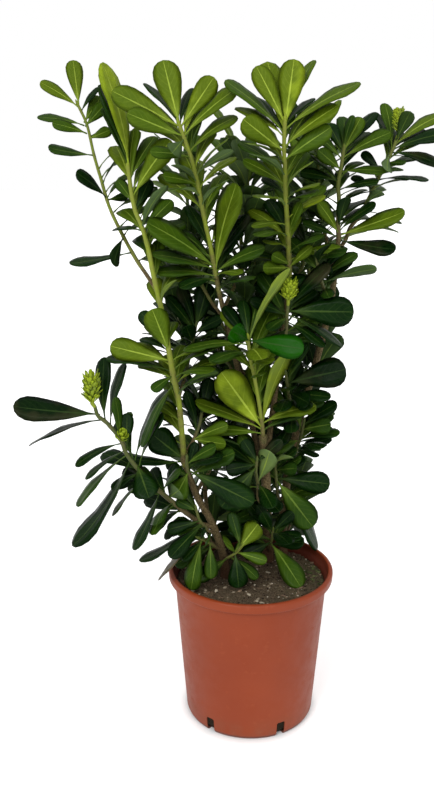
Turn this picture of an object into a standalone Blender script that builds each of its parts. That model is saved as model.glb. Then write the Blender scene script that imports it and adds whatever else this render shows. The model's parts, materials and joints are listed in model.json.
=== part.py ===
"""A Japanese pittosporum in its terracotta-coloured nursery pot.

The origin is the centre of the pot's flat underside, +Z is up, and the front of the plant faces -Y.
Three woody trunks stand in plain holes in the soil. Every leafy shoot is one piece, a tapered stem with
its leaves, and starts a hair's breadth beyond the stub that carries it. The plant was drawn from a front
view, so its stems and larger leaves are given as points of that view and a depth behind the pot's axis.
"""
import itertools
import math
import random

import bmesh
import bpy
from mathutils import Matrix, Vector
from mathutils.bvhtree import BVHTree

CM = 0.01
MM = 0.001
TOUCH = 0.3 * MM

# The pot, a standard container of 24 cm
POT_HEIGHT = 230 * MM
RIM_RADIUS = 120 * MM
RIM_SKIRT = 14 * MM
MOUTH_RADIUS = 112.5 * MM
SHOULDER_RADIUS = 110.3 * MM
BASE_RADIUS = 94.3 * MM
BASE_ROUND = 4 * MM
LIP = 2.4 * MM
LIP_DROP = 4 * MM
BEND_HEIGHT = 5 * MM
WALL = 2 * MM
FLOOR = 3 * MM
POT_STEPS = 30
SLOT_WIDTH = 13 * MM
SLOT_HEIGHT = 24 * MM
SLOT_REACH = 24 * MM
SLOT_BELOW = 5 * MM
SLOT_AZIMUTHS = (-97, -36, 29, 91, 151, -157)

# The soil, and the holes that the trunks stand in
SOIL_TOP = 212 * MM
SOIL_DIP = 3 * MM
SOIL_EDGE = 3 * MM
SOIL_RINGS = (0.0, 0.3, 0.6, 0.85)
SOIL_STEPS = 20
HOLE_DEPTH = 45 * MM
HOLE_SIDES = 16

# The eye of the front view: in front of the pot, above its rim, looking down and a little to the left
EYE = Vector((0.0, -1.326, 0.894))
EYE_DOWN = math.radians(17.2)
EYE_LEFT = math.radians(2.12)
VIEW_MIDDLE = (217.0, 400.0)
VIEW_FOCAL = 1000.0

# Stems
STOUT_FROM = 2.6 * MM
STEM_STEP = 58 * MM
KNOT_STEPS = 24
LEAD = 6 * MM
LEAST_FORK = math.radians(40)
LONGEST_STUB = 26 * MM
BARK_GAP = 0.8 * MM
LEAF_MARGIN = 3.5 * MM

# Leaves
RIB = 1.6 * MM
ROOT_DEPTH = 0.8 * MM
PETIOLE = 2.4 * MM
WIDE_ROWS = (0.30, 0.66, 0.91)
WIDE_FROM = 24 * MM
RULE_ROWS = (0.42, 0.84)
VIEW_ROWS = (0.35, 0.55, 0.75, 0.95)
SCALE_ROWS = (0.42,)
BLADE_STARTS = 0.10
SLENDER = 0.34
CLEARANCE = 0.4 * MM
GOLDEN_ANGLE = math.radians(137.508)
SEED = 24

# The ways in which a leaf is moved until it is clear: a change of size, a push back in cm and a roll for
# one read from the view, a change of size, a tilt and a swing for one set by rule
DRAWN_SCALES = (1.0, 0.86, 0.72)
DRAWN_PUSHES = (0, 0.7, -0.7, 1.4, -1.4, 2.2, -2.2, 3.2, -3.2)
DRAWN_ROLLS = (0.0, 0.24, -0.24)
RULE_SCALES = (1.0, 0.84, 0.7)
RULE_TILTS = (0.0, -0.2, 0.2)
RULE_SWINGS = (0.0, 0.25, -0.25, 0.55, -0.55, 0.9, -0.9)

# Colours, as the eye sees them in daylight
TERRACOTTA = (0.335, 0.075, 0.030)
EARTH = (0.060, 0.042, 0.028)
BARK = (0.130, 0.095, 0.045)
YOUNG = (0.190, 0.260, 0.025)
GREEN = (0.060, 0.125, 0.015)
DARK = (0.016, 0.045, 0.012)


def seen(px, py, depth):
    """The point that the front view shows at a pixel, at a depth in cm behind the pot's axis."""
    right = (px - VIEW_MIDDLE[0]) / VIEW_FOCAL
    up = (VIEW_MIDDLE[1] - py) / VIEW_FOCAL
    ahead = math.cos(EYE_DOWN) + math.sin(EYE_DOWN) * up
    rise = -math.sin(EYE_DOWN) + math.cos(EYE_DOWN) * up
    ray = Vector((math.cos(EYE_LEFT) * right - math.sin(EYE_LEFT) * ahead,
                  math.sin(EYE_LEFT) * right + math.cos(EYE_LEFT) * ahead, rise))
    return EYE + ray * ((depth * CM - EYE.y) / ray.y)


def shown(point):
    """The pixel of the front view at which a point is seen."""
    away = point - EYE
    across = math.cos(EYE_LEFT) * away.x + math.sin(EYE_LEFT) * away.y
    ahead = -math.sin(EYE_LEFT) * away.x + math.cos(EYE_LEFT) * away.y
    deep = ahead * math.cos(EYE_DOWN) - away.z * math.sin(EYE_DOWN)
    up = ahead * math.sin(EYE_DOWN) + away.z * math.cos(EYE_DOWN)
    return (VIEW_MIDDLE[0] + VIEW_FOCAL * across / deep, VIEW_MIDDLE[1] - VIEW_FOCAL * up / deep)


def leaf(tip, root, wide, back=None, long=7.6, face="upper", age=None, arch=0.07):
    """A leaf read from the front view: the pixels of its tip and root, and its width there.

    back is how far the tip lies behind the root in cm. Without it, the tip goes back or comes forward
    until the leaf is long cm from root to tip. face is the side of the blade that the view shows.
    """
    return dict(tip=tip, root=root, wide=wide, back=back, long=long, face=face, age=age, arch=arch)


def spray(count, start, end, long=7.0, opens=(72, 30), turn=0.0, age=None):
    """Leaves set round a stem by the golden angle, from one fraction of its length to another.

    opens is the angle between leaf and stem in degrees, at the first leaf and at the last one.
    """
    return dict(count=count, start=start, end=end, long=long, opens=opens, turn=turn, age=age)


# The woody stems: their path, from the soil or from the stem that carries them, and their thickness in mm
WOOD = {
    "left_trunk": dict(
        carrier=None, foot=(-3.7, 0.0), thick=(13.5, 9.0),
        path=[(222, 551, -0.8), (217, 535, -1.5), (210, 519, -2), (197, 496, -3), (186, 467, -3.5)]),
    "centre_trunk": dict(
        carrier=None, foot=(2.6, 5.6), thick=(17, 12),
        path=[(267, 520, 3.5), (266, 480, 1), (264, 448, -1), (263, 436, -1.5)]),
    "right_trunk": dict(
        carrier=None, foot=(4.9, 6.8), thick=(14, 8),
        path=[(283, 520, 8), (290, 460, 6.5), (305, 400, 4.5), (322, 340, 2.5), (331, 300, 1.5),
              (336, 262, 1), (338, 244, 1)]),
    "heart_branch": dict(
        carrier="centre_trunk", at=(266, 478), thick=(9, 6.5),
        path=[(252, 425, 1.4), (238, 370, -0.6), (227, 325, -2.8), (221, 300, -3.8)]),
    "rear_branch": dict(
        carrier="centre_trunk", at=(266, 500), thick=(11, 7.5),
        path=[(262, 455, 6), (256, 400, 8), (250, 350, 9.5), (245, 318, 10.5)]),
    "middle_branch": dict(
        carrier="centre_trunk", at=(265, 462), thick=(9, 6.5),
        path=[(272, 415, 1.5), (280, 360, 1), (286, 310, -1), (289, 282, -2)]),
}


# The leafy shoots: what carries each, its path, its thickness in mm, its age from 0, the spring's growth,
# to 1, the old dark leaves, its leaves read from the front view, and the sprays that fill the rest
SHOOTS = {
    "left_tall_shoot": dict(
        carrier="left_trunk", at=None, thick=(8.5, 5.0), age=0.12,
        path=[(183, 447, -4.4), (179, 403, -6), (173, 374, -7), (168, 345, -7.6), (162, 312, -8),
              (153, 273, -8), (148, 248, -7.6), (142, 227, -7), (135, 210, -6.4), (131, 190, -5.8),
              (128, 166, -5)],
        leaves=[leaf((152, 309), (170, 352), 24, back=-2.5, age=0.2),
                leaf((110, 346), (168, 361), 22, age=0.25),
                leaf((106, 358), (167, 373), 8, age=0.8),
                leaf((140, 312), (166, 340), 14, age=0.9, back=2),
                leaf((141, 338), (167, 352), 7, age=0.8, back=3),
                leaf((152, 391), (172, 376), 10, age=0.7, long=5, back=-3),
                leaf((141, 447), (174, 383), 12, age=0.75, back=-2),
                leaf((152, 434), (184, 459), 27, age=0.95, back=-2, long=6.5),
                leaf((122, 456), (185, 462), 11, age=0.8, back=-4, arch=-0.12),
                leaf((103, 62), (127, 168), 20, age=0.05, long=12, back=1),
                leaf((101, 75), (128, 172), 12, age=0.5, back=5.5),
                leaf((134, 128), (131, 186), 14, age=0.3, back=3),
                leaf((171, 140), (133, 196), 20, age=0.1, back=-1),
                leaf((150, 179), (136, 211), 14, age=0.95, long=6.5, back=3),
                leaf((117, 180), (130, 205), 12, age=0.6, long=6, back=3),
                leaf((155, 136), (130, 180), 14, age=0.4, back=4),
                leaf((114, 229), (142, 231), 6, age=0.9, long=6, back=3),
                leaf((172, 200), (143, 232), 14, age=0.5, back=2),
                leaf((185, 222), (146, 243), 14, age=0.6, back=5)],
        sprays=[spray(5, 0.90, 0.985, 8.0, (50, 24), 0.4, 0.15),
                spray(5, 0.60, 0.84, 6.5, (66, 50), 1.0, 0.6),
                spray(4, 0.27, 0.36, 7.0, (66, 50), 2.2, 0.5)]),
    "far_left_shoot": dict(
        carrier="left_tall_shoot", at=(156, 292), thick=(5.2, 3.4), age=0.4,
        path=[(146, 274, -6.4), (136, 259, -5), (121, 232, -3), (109, 206, -1.4), (101, 179, 0),
              (94, 155, 0.8), (87, 125, 1.6), (78, 105, 2)],
        leaves=[leaf((40, 82), (79, 107), 11, age=0.2, back=-1.5),
                leaf((73, 60), (78, 105), 15, age=0.2, back=1.5),
                leaf((99, 87), (82, 112), 6, age=0.9, back=1),
                leaf((101, 97), (85, 122), 14, age=0.45, long=5.5, back=2),
                leaf((37, 117), (87, 125), 8, age=0.6, back=-1),
                leaf((52, 123), (88, 134), 9, age=0.55, back=-2),
                leaf((112, 131), (89, 136), 9, age=0.8, back=2),
                leaf((48, 147), (93, 156), 9, age=0.7, back=-1.5),
                leaf((76, 172), (114, 196), 11, age=0.9, back=-3),
                leaf((128, 196), (105, 200), 9, age=0.8, back=2.5, long=5.5),
                leaf((69, 263), (130, 254), 8, age=0.8, back=-2),
                leaf((113, 265), (126, 236), 11, age=0.9, back=-3.5, face="under")],
        sprays=[spray(2, 0.86, 0.96, 5.5, (48, 30), 2.0, 0.5),
                spray(2, 0.55, 0.72, 5.5, (60, 50), 0.3, 0.8)]),
    "low_left_shoot": dict(
        carrier="left_trunk", at=(208, 529), thick=(7.0, 5.0), age=0.95,
        path=[(193, 518, -3.6), (175, 504, -5.4), (154, 486, -7), (138, 469, -8), (126, 453, -8.5),
              (121, 440, -8.7), (107, 423, -8.8), (98, 416, -9), (95, 407, -9)],
        leaves=[leaf((13, 406), (99, 416), 24, back=-2, age=0.95, long=11),
                leaf((30, 444), (104, 420), 7, back=2.5, age=0.95),
                leaf((104, 357), (106, 420), 17, back=2.5, age=0.95),
                leaf((124, 363), (112, 426), 10, back=4.5, age=0.9),
                leaf((115, 397), (121, 437), 11, back=-0.8, age=0.7, long=5.6),
                leaf((127, 413), (125, 450), 14, back=1.5, age=0.95, long=6),
                leaf((167, 389), (133, 462), 11, back=1.5, age=0.85),
                leaf((163, 413), (138, 468), 7, back=-1, age=0.8),
                leaf((75, 466), (122, 444), 9, back=-1.5, age=0.9, arch=0.12),
                leaf((85, 479), (124, 452), 6, back=-1, age=0.8),
                leaf((76, 506), (127, 455), 7, back=-2.5, age=0.75),
                leaf((72, 546), (130, 458), 13, back=-4, age=0.85, long=13, arch=0.1),
                leaf((111, 489), (141, 473), 9, back=-1, age=0.8),
                leaf((112, 516), (146, 478), 4, back=-2, age=0.7),
                leaf((149, 498), (136, 466), 26, back=-3.6, age=0.9, long=7.5),
                leaf((133, 550), (160, 491), 10, back=-3, age=0.9, long=9),
                leaf((179, 490), (168, 498), 20, back=-3.4, age=0.5, long=5.5, face="under")],
        sprays=[spray(2, 0.86, 0.96, 5.0, (60, 45), 1.0, 0.95),
                spray(4, 0.20, 0.52, 5.5, (66, 55), 0.6, 0.95)]),
    "inner_left_shoot": dict(
        carrier="heart_branch", at=None, thick=(6.2, 4.4), age=0.12,
        path=[(216, 276, -4.4), (210, 244, -5.4), (204, 217, -6.2), (198, 185, -7), (191, 157, -7.6),
              (179, 124, -8)],
        leaves=[leaf((112, 91), (181, 121), 24, back=-1, age=0.15, long=10),
                leaf((127, 113), (183, 136), 21, back=-2, age=0.2),
                leaf((163, 60), (180, 118), 26, back=1.5, age=0.1),
                leaf((145, 83), (181, 122), 8, back=3, age=0.85),
                leaf((214, 77), (182, 127), 20, back=1.5, age=0.15),
                leaf((236, 88), (185, 137), 18, back=0.5, age=0.2),
                leaf((191, 88), (183, 124), 10, back=3.5, age=0.85),
                leaf((172, 153), (186, 138), 17, back=-5, age=0.3, face="under", long=6),
                leaf((237, 116), (192, 152), 12, back=1.5, age=0.3, arch=0.14),
                leaf((233, 150), (196, 175), 9, back=-1.5, age=0.4, face="under"),
                leaf((150, 152), (190, 158), 12, back=-3, age=0.45),
                leaf((163, 176), (197, 185), 11, back=-3, age=0.5),
                leaf((236, 183), (217, 274), 21, back=-1.5, age=0.32, long=12),
                leaf((147, 222), (215, 268), 16, back=-3, age=0.5),
                leaf((152, 254), (214, 270), 12, back=-3, age=0.55),
                leaf((155, 272), (215, 277), 11, back=-2, age=0.6, arch=0.1),
                leaf((180, 288), (216, 280), 10, back=-5, age=0.8, arch=0.12),
                leaf((265, 247), (218, 272), 13, back=-1.5, age=0.5, arch=0.1),
                leaf((188, 205), (212, 256), 14, back=3, age=0.9),
                leaf((248, 214), (220, 266), 13, back=2, age=0.95)],
        sprays=[spray(5, 0.90, 0.985, 7.5, (56, 24), 0.9, 0.2),
                spray(4, 0.45, 0.80, 6.0, (62, 48), 2.4, 0.55),
                spray(3, 0.06, 0.22, 7.5, (72, 48), 1.7, 0.7)]),
    "tall_right_shoot": dict(
        carrier="middle_branch", at=None, thick=(7.0, 4.4), age=0.08,
        path=[(289, 262, -2.8), (288, 235, -4.2), (286, 200, -5.8), (285, 170, -7.2), (284, 146, -8.2),
              (285, 120, -9)],
        leaves=[leaf((294, 59), (285, 128), 26, back=1, age=0.05, long=10),
                leaf((256, 66), (284, 124), 20, back=0.5, age=0.05),
                leaf((313, 60), (286, 122), 12, back=4, age=0.3),
                leaf((360, 82), (286, 130), 12, back=1.5, age=0.25, long=11),
                leaf((338, 105), (285, 147), 15, back=-0.5, age=0.2),
                leaf((313, 98), (286, 126), 10, back=3.5, age=0.75),
                leaf((225, 80), (284, 134), 11, back=2, age=0.55),
                leaf((243, 119), (284, 152), 22, back=-1.5, age=0.3),
                leaf((251, 95), (284, 136), 12, back=4, age=0.8),
                leaf((331, 127), (285, 160), 22, back=-2, age=0.3),
                leaf((305, 142), (285, 176), 12, back=1.5, age=0.5),
                leaf((243, 160), (285, 186), 12, back=-1, age=0.4),
                leaf((262, 178), (286, 196), 7, back=2, age=0.8),
                leaf((301, 202), (287, 238), 12, back=-2, age=0.35, long=6),
                leaf((268, 199), (287, 236), 14, back=4, age=0.95),
                leaf((312, 246), (290, 268), 11, back=-2, age=0.3, long=5.5),
                leaf((272, 255), (289, 264), 13, back=-3, age=0.4, long=5),
                leaf((263, 268), (289, 268), 14, back=-4, age=0.4, long=5.5)],
        sprays=[spray(5, 0.90, 0.985, 8.0, (50, 24), 0.2, 0.15),
                spray(5, 0.50, 0.85, 7.0, (64, 46), 1.4, 0.6),
                spray(4, 0.10, 0.36, 6.5, (70, 60), 0.6, 0.85)]),
    "right_shoot": dict(
        carrier="right_trunk", at=None, thick=(6.4, 4.2), age=0.6,
        path=[(338, 225, 1.2), (339, 200, 1.6), (338, 185, 1.8), (341, 168, 2), (344, 148, 2.2)],
        leaves=[leaf((353, 115), (344, 150), 9, back=0.5, age=0.7, long=5.5),
                leaf((329, 124), (343, 152), 12, back=2, age=0.9, long=5.5),
                leaf((361, 117), (344, 152), 16, back=1.5, age=0.45, long=6),
                leaf((376, 112), (344, 155), 9, back=3, age=0.9),
                leaf((391, 132), (343, 158), 13, back=0.5, age=0.5),
                leaf((386, 171), (341, 172), 9, back=-1.5, age=0.55),
                leaf((379, 181), (339, 190), 8, back=-1.5, age=0.8),
                leaf((309, 128), (342, 160), 12, back=1, age=0.7),
                leaf((300, 172), (340, 182), 10, back=1, age=0.9),
                leaf((318, 150), (341, 170), 14, back=-2, age=0.5, long=6),
                leaf((376, 203), (339, 232), 9, back=-1.5, age=0.8),
                leaf((405, 211), (339, 236), 17, back=-1, age=0.25, long=9.5),
                leaf((396, 249), (339, 240), 14, back=-2, age=0.95),
                leaf((318, 202), (338, 234), 13, back=-2.5, age=0.3, long=6),
                leaf((302, 222), (338, 238), 9, back=-2, age=0.85),
                leaf((346, 197), (339, 228), 12, back=-3, age=0.9, face="under", long=5.5)],
        sprays=[spray(5, 0.88, 0.985, 6.5, (60, 26), 0.5, 0.7),
                spray(4, 0.40, 0.75, 6.0, (66, 50), 2.6, 0.85),
                spray(2, 0.05, 0.15, 7.0, (72, 60), 1.1, 0.85)]),
    "far_right_shoot": dict(
        carrier="right_trunk", at=(337, 252), thick=(5.6, 4.2), age=0.6,
        path=[(350, 228, 2), (360, 215, 2.4), (368, 200, 2.8), (375, 185, 3), (387, 161, 3), (393, 149, 3),
              (397, 138, 3)],
        leaves=[leaf((385, 103), (392, 150), 12, back=3, age=0.55, long=6.5),
                leaf((371, 96), (390, 154), 7, back=1.5, age=0.9),
                leaf((446, 112), (394, 147), 13, back=3, age=0.3),
                leaf((424, 129), (393, 150), 8, back=3, age=0.9),
                leaf((449, 132), (392, 151), 13, back=-1, age=0.9),
                leaf((443, 166), (391, 153), 11, back=-2, age=0.95, arch=0.12),
                leaf((387, 171), (390, 154), 12, back=-5, age=0.5, face="under", long=5.5),
                leaf((406, 163), (386, 164), 6, back=-2.5, age=0.8, long=5),
                leaf((429, 180), (377, 180), 5, back=-1, age=0.85),
                leaf((362, 152), (382, 172), 9, back=1, age=0.9, long=5.5),
                leaf((352, 176), (373, 190), 8, back=2.5, age=0.9, long=5.5)],
        sprays=[spray(3, 0.84, 0.96, 5.5, (62, 44), 2.1, 0.8)]),
    "young_middle_shoot": dict(
        carrier="centre_trunk", at=None, thick=(5.6, 4.2), age=0.18,
        path=[(262, 424, -2.2), (259, 403, -4), (254, 375, -6), (250, 358, -7), (248, 338, -8)],
        leaves=[leaf((221, 372), (262, 428), 34, back=-1.5, age=0.15, long=9.5),
                leaf((195, 401), (262, 430), 14, back=-1, age=0.2, long=9.5, arch=0.03),
                leaf((289, 349), (262, 428), 15, back=-0.5, age=0.3, face="under"),
                leaf((304, 349), (249, 338), 24, back=-3, age=0.42, long=8.5),
                leaf((231, 330), (249, 337), 20, back=-4.5, age=0.42, long=6),
                leaf((290, 268), (249, 342), 15, back=0.5, age=0.25, face="under"),
                leaf((183, 350), (250, 345), 11, back=-0.5, age=0.5, arch=0.12),
                leaf((206, 430), (261, 434), 14, back=-1, age=0.5, long=8.5),
                leaf((243, 300), (249, 340), 14, back=3, age=0.8),
                leaf((224, 306), (249, 344), 12, back=2, age=0.9)],
        sprays=[spray(4, 0.86, 0.98, 7.0, (66, 34), 0.2, 0.7),
                spray(3, 0.05, 0.22, 7.0, (72, 56), 2.4, 0.85)]),
    "middle_bud_shoot": dict(
        carrier="middle_branch", at=(281, 352), thick=(5.0, 4.4), age=0.95,
        path=[(286, 332, -3.2), (287, 316, -4.6), (288, 305, -5)],
        leaves=[leaf((354, 312), (288, 311), 29, back=-1, age=0.95, long=9.5),
                leaf((343, 347), (288, 315), 9, back=-1, age=0.9),
                leaf((325, 347), (287, 322), 13, back=-3, age=0.95),
                leaf((250, 300), (287, 316), 13, back=-2, age=0.9),
                leaf((268, 330), (287, 318), 12, back=-4.5, age=0.8, long=6),
                leaf((330, 264), (288, 310), 15, back=1.5, age=0.95),
                leaf((316, 290), (288, 312), 12, back=3, age=0.8, long=6)],
        sprays=[spray(4, 0.55, 0.90, 7.0, (78, 60), 1.3, 0.95)]),
    "dark_left_shoot": dict(
        carrier="left_tall_shoot", at=(178, 400), thick=(5.0, 3.6), age=0.95,
        path=[(186, 372, -2.4), (191, 350, -1.8), (196, 326, -1.6)],
        leaves=[leaf((180, 286), (195, 330), 14, back=1, age=0.95),
                leaf((208, 283), (196, 328), 22, back=1, age=0.95, long=7),
                leaf((166, 296), (194, 332), 14, back=-1.5, age=0.9),
                leaf((222, 318), (195, 334), 13, back=-3, age=0.95, long=6),
                leaf((186, 326), (193, 342), 16, back=-5, age=0.9, face="upper", long=6)],
        sprays=[spray(5, 0.55, 0.95, 6.5, (70, 34), 0.6, 0.95)]),
    "right_middle_shoot": dict(
        carrier="right_trunk", at=(296, 436), thick=(5.4, 3.8), age=0.95,
        path=[(291, 408, 1.5), (288, 390, -0.5), (286, 374, -1.6)],
        leaves=[leaf((346, 369), (287, 383), 29, back=-1, age=0.95, long=9),
                leaf((331, 397), (289, 395), 13, back=-2, age=0.9),
                leaf((309, 403), (290, 392), 18, back=-4.5, age=0.9, long=6)],
        sprays=[spray(5, 0.45, 0.95, 6.5, (74, 36), 0.2, 0.95)]),
    "right_low_shoot": dict(
        carrier="right_trunk", at=(288, 478), thick=(5.0, 3.6), age=0.95,
        path=[(296, 452, 4.5), (301, 436, 3), (304, 422, 2)],
        leaves=[leaf((337, 403), (303, 426), 12, back=-1, age=0.95, long=5.5),
                leaf((331, 424), (302, 430), 18, back=-2, age=0.6, long=5.5),
                leaf((340, 433), (300, 440), 8, back=-2, age=0.8, arch=0.1),
                leaf((318, 457), (298, 450), 6, back=-3.5, age=0.9, long=5.5)],
        sprays=[spray(4, 0.5, 0.95, 6.0, (74, 40), 1.2, 0.95)]),
    "right_hanging_shoot": dict(
        carrier="right_trunk", at=(284, 512), thick=(5.0, 3.8), age=0.9,
        path=[(277, 488, 4), (276, 474, 2), (275, 462, 1)],
        leaves=[leaf((330, 484), (277, 478), 21, back=-1.5, age=0.95, long=8),
                leaf((313, 527), (277, 480), 28, back=-1.5, age=0.7, long=9.5),
                leaf((318, 548), (278, 490), 13, back=1, age=0.9, long=10),
                leaf((290, 456), (275, 462), 8, back=-4.5, age=0.35, face="under", long=5),
                leaf((297, 468), (276, 470), 14, back=-3.5, age=0.8, long=5.5)],
        sprays=[spray(3, 0.4, 0.95, 6.0, (76, 48), 0.8, 0.95)]),
    "left_middle_shoot": dict(
        carrier="left_tall_shoot", at=(184, 456), thick=(5.0, 3.8), age=0.9,
        path=[(194, 440, -3.4), (199, 426, -2.2), (202, 412, -1.4)],
        leaves=[leaf((228, 425), (197, 442), 13, back=-1.5, age=0.4, long=6.5),
                leaf((226, 444), (196, 440), 15, back=-3.4, age=0.45, long=6.5),
                leaf((186, 391), (198, 432), 12, back=0, age=0.95),
                leaf((210, 378), (202, 416), 16, back=2, age=0.95)],
        sprays=[spray(4, 0.55, 0.95, 6.0, (74, 40), 0.3, 0.95)]),
    "left_knot_shoot": dict(
        carrier="left_trunk", at=(193, 486), thick=(5.0, 4.0), age=0.9,
        path=[(189, 475, -5.4), (187, 466, -6.6), (187, 458, -7.4)],
        leaves=[leaf((170, 508), (188, 472), 20, back=-2, age=0.6, long=6.5),
                leaf((254, 503), (190, 470), 26, back=-0.5, age=0.85, long=9),
                leaf((216, 446), (189, 464), 12, back=-2, age=0.6)],
        sprays=[spray(3, 0.4, 0.95, 6.0, (76, 50), 1.8, 0.9)]),
    "centre_low_shoot": dict(
        carrier="centre_trunk", at=(267, 505), thick=(5.0, 3.8), age=0.9,
        path=[(258, 486, 0), (256, 472, -1.6), (257, 460, -2.4)],
        leaves=[leaf((270, 451), (258, 483), 20, back=-3.5, age=0.35, face="under", long=5.5),
                leaf((221, 507), (257, 466), 28, back=-2.5, age=0.85, long=8.5),
                leaf((226, 470), (257, 464), 15, back=-2, age=0.9),
                leaf((282, 440), (257, 461), 13, back=-2, age=0.95, long=6),
                leaf((243, 440), (257, 461), 14, back=-2, age=0.95, long=6)],
        sprays=[spray(4, 0.45, 0.95, 6.5, (76, 42), 2.1, 0.95)]),
    "left_foot_shoot": dict(
        carrier="left_trunk", at=(216, 534), thick=(4.6, 3.4), age=0.85,
        path=[(205, 527, -4), (199, 519, -5.2), (196, 508, -6)],
        leaves=[leaf((167, 530), (200, 521), 13, back=-2, age=0.85, long=6, arch=-0.08),
                leaf((139, 561), (201, 524), 8, back=-3, age=0.85, long=10, arch=-0.1),
                leaf((170, 558), (202, 525), 14, back=-3, age=0.85, long=7),
                leaf((176, 500), (197, 511), 12, back=-3, age=0.7, long=5)],
        sprays=[spray(3, 0.4, 0.95, 5.5, (74, 44), 0.5, 0.9)]),
    "left_drooping_shoot": dict(
        carrier="left_trunk", at=(221, 550), thick=(4.4, 3.4), age=0.7,
        path=[(213, 545, -3.2), (206, 541, -4.6), (199, 538, -5.4)],
        leaves=[leaf((191, 590), (201, 541), 17, back=-1.2, age=0.6, long=7.6, arch=0.1),
                leaf((211, 579), (209, 545), 15, back=-2, age=0.65, long=6),
                leaf((158, 580), (202, 541), 6, back=-1.5, age=0.5, long=7),
                leaf((183, 560), (203, 542), 9, back=-2.5, age=0.9, long=5.5)],
        sprays=[spray(2, 0.5, 0.9, 5.0, (70, 50), 1.2, 0.9)]),
    "foot_sprig": dict(
        carrier="left_trunk", at=(224, 560), thick=(4.4, 3.4), age=0.4,
        path=[(231, 556, -3), (237, 552, -4), (242, 546, -4.6)],
        leaves=[leaf((258, 524), (239, 550), 19, back=2, age=0.2, long=6),
                leaf((231, 512), (241, 547), 13, back=1.5, age=0.85, long=6),
                leaf((267, 561), (237, 553), 12, back=-1.5, age=0.5, long=5.5),
                leaf((239, 588), (236, 554), 19, back=-1.8, age=0.85, long=6)],
        sprays=[spray(2, 0.7, 0.95, 5.5, (70, 40), 2.2, 0.8)]),
    "centre_foot_shoot": dict(
        carrier="centre_trunk", at=(268, 550), thick=(4.4, 3.4), age=0.8,
        path=[(270, 544, 2.6), (272, 538, 1), (273, 530, 0)],
        leaves=[leaf((301, 587), (271, 543), 23, back=-2.4, age=0.6, long=8),
                leaf((243, 556), (271, 542), 15, back=-2, age=0.9, long=5.5),
                leaf((262, 512), (273, 532), 13, back=-2.6, age=0.9, long=5),
                leaf((293, 512), (273, 531), 13, back=0, age=0.95, long=6)],
        sprays=[spray(3, 0.5, 0.95, 5.5, (74, 44), 0.9, 0.95)]),
    "rear_middle_shoot": dict(
        carrier="rear_branch", at=None, thick=(6.0, 4.0), age=0.7,
        path=[(243, 285, 11), (241, 240, 11.4), (240, 195, 11.6), (240, 160, 11.6)],
        leaves=[],
        sprays=[spray(6, 0.82, 0.985, 8.0, (60, 26), 0.4, 0.45),
                spray(7, 0.15, 0.72, 7.5, (72, 56), 1.2, 0.9)]),
    "rear_left_shoot": dict(
        carrier="rear_branch", at=(254, 388), thick=(6.0, 4.0), age=0.8,
        path=[(234, 352, 11), (214, 305, 13), (198, 255, 14), (188, 205, 14.4), (184, 170, 14.6)],
        leaves=[],
        sprays=[spray(6, 0.84, 0.985, 7.5, (60, 26), 0.9, 0.45),
                spray(8, 0.22, 0.76, 7.5, (74, 56), 0.1, 0.9)]),
    "rear_right_shoot": dict(
        carrier="right_trunk", at=(318, 352), thick=(6.0, 4.0), age=0.8,
        path=[(314, 310, 8), (308, 265, 11), (306, 220, 12.4), (308, 175, 13)],
        leaves=[],
        sprays=[spray(6, 0.84, 0.985, 7.5, (60, 26), 1.9, 0.5),
                spray(7, 0.22, 0.76, 7.5, (74, 56), 2.1, 0.9)]),
    "deep_left_shoot": dict(
        carrier="left_trunk", at=(208, 516), thick=(6.0, 4.0), age=0.9,
        path=[(204, 480, 3), (198, 430, 8), (190, 380, 11.5), (180, 325, 13), (172, 270, 13.6)],
        leaves=[],
        sprays=[spray(6, 0.82, 0.985, 7.5, (64, 28), 2.5, 0.75),
                spray(8, 0.25, 0.74, 7.5, (74, 58), 0.7, 0.95)]),
    "deep_middle_shoot": dict(
        carrier="rear_branch", at=(262, 448), thick=(6.0, 4.0), age=0.9,
        path=[(262, 412, 12), (264, 365, 17), (268, 310, 20), (272, 250, 21), (274, 200, 21.4)],
        leaves=[],
        sprays=[spray(6, 0.82, 0.985, 7.5, (62, 28), 1.5, 0.6),
                spray(9, 0.18, 0.74, 7.5, (74, 58), 1.1, 0.95)]),
    "deep_right_shoot": dict(
        carrier="right_trunk", at=(286, 492), thick=(6.0, 4.0), age=0.9,
        path=[(292, 452, 11), (300, 405, 15), (308, 355, 17), (312, 305, 18), (314, 262, 18.4)],
        leaves=[],
        sprays=[spray(6, 0.80, 0.985, 7.5, (64, 28), 0.3, 0.8),
                spray(8, 0.20, 0.72, 7.0, (74, 58), 1.9, 0.95)]),
    "low_rear_shoot": dict(
        carrier="centre_trunk", at=(268, 536), thick=(5.2, 3.8), age=0.9,
        path=[(262, 512, 11), (252, 480, 15), (240, 440, 18), (230, 395, 19.4)],
        leaves=[],
        sprays=[spray(6, 0.70, 0.985, 7.0, (66, 30), 0.9, 0.85),
                spray(5, 0.20, 0.60, 6.5, (74, 60), 1.7, 0.95)]),
    "inner_dark_shoot": dict(
        carrier="heart_branch", at=(242, 388), thick=(5.0, 3.6), age=0.95,
        path=[(230, 366, 0.5), (220, 352, 2), (214, 338, 3)],
        leaves=[],
        sprays=[spray(8, 0.30, 0.97, 6.5, (76, 34), 0.2, 0.95)]),
    "inner_right_shoot": dict(
        carrier="middle_branch", at=(287, 304), thick=(5.0, 3.6), age=0.9,
        path=[(298, 278, 0.5), (306, 256, 2), (311, 235, 3)],
        leaves=[],
        sprays=[spray(8, 0.30, 0.97, 6.5, (74, 32), 1.0, 0.9)]),
    "inner_top_shoot": dict(
        carrier="heart_branch", at=(223, 310), thick=(5.0, 3.6), age=0.6,
        path=[(236, 282, 0.5), (244, 250, 2.4), (248, 215, 3.6), (248, 180, 4)],
        leaves=[leaf((244, 268), (245, 240), 14, back=-4, age=0.95, face="under", long=6)],
        sprays=[spray(6, 0.72, 0.985, 7.5, (62, 26), 1.7, 0.5),
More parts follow.
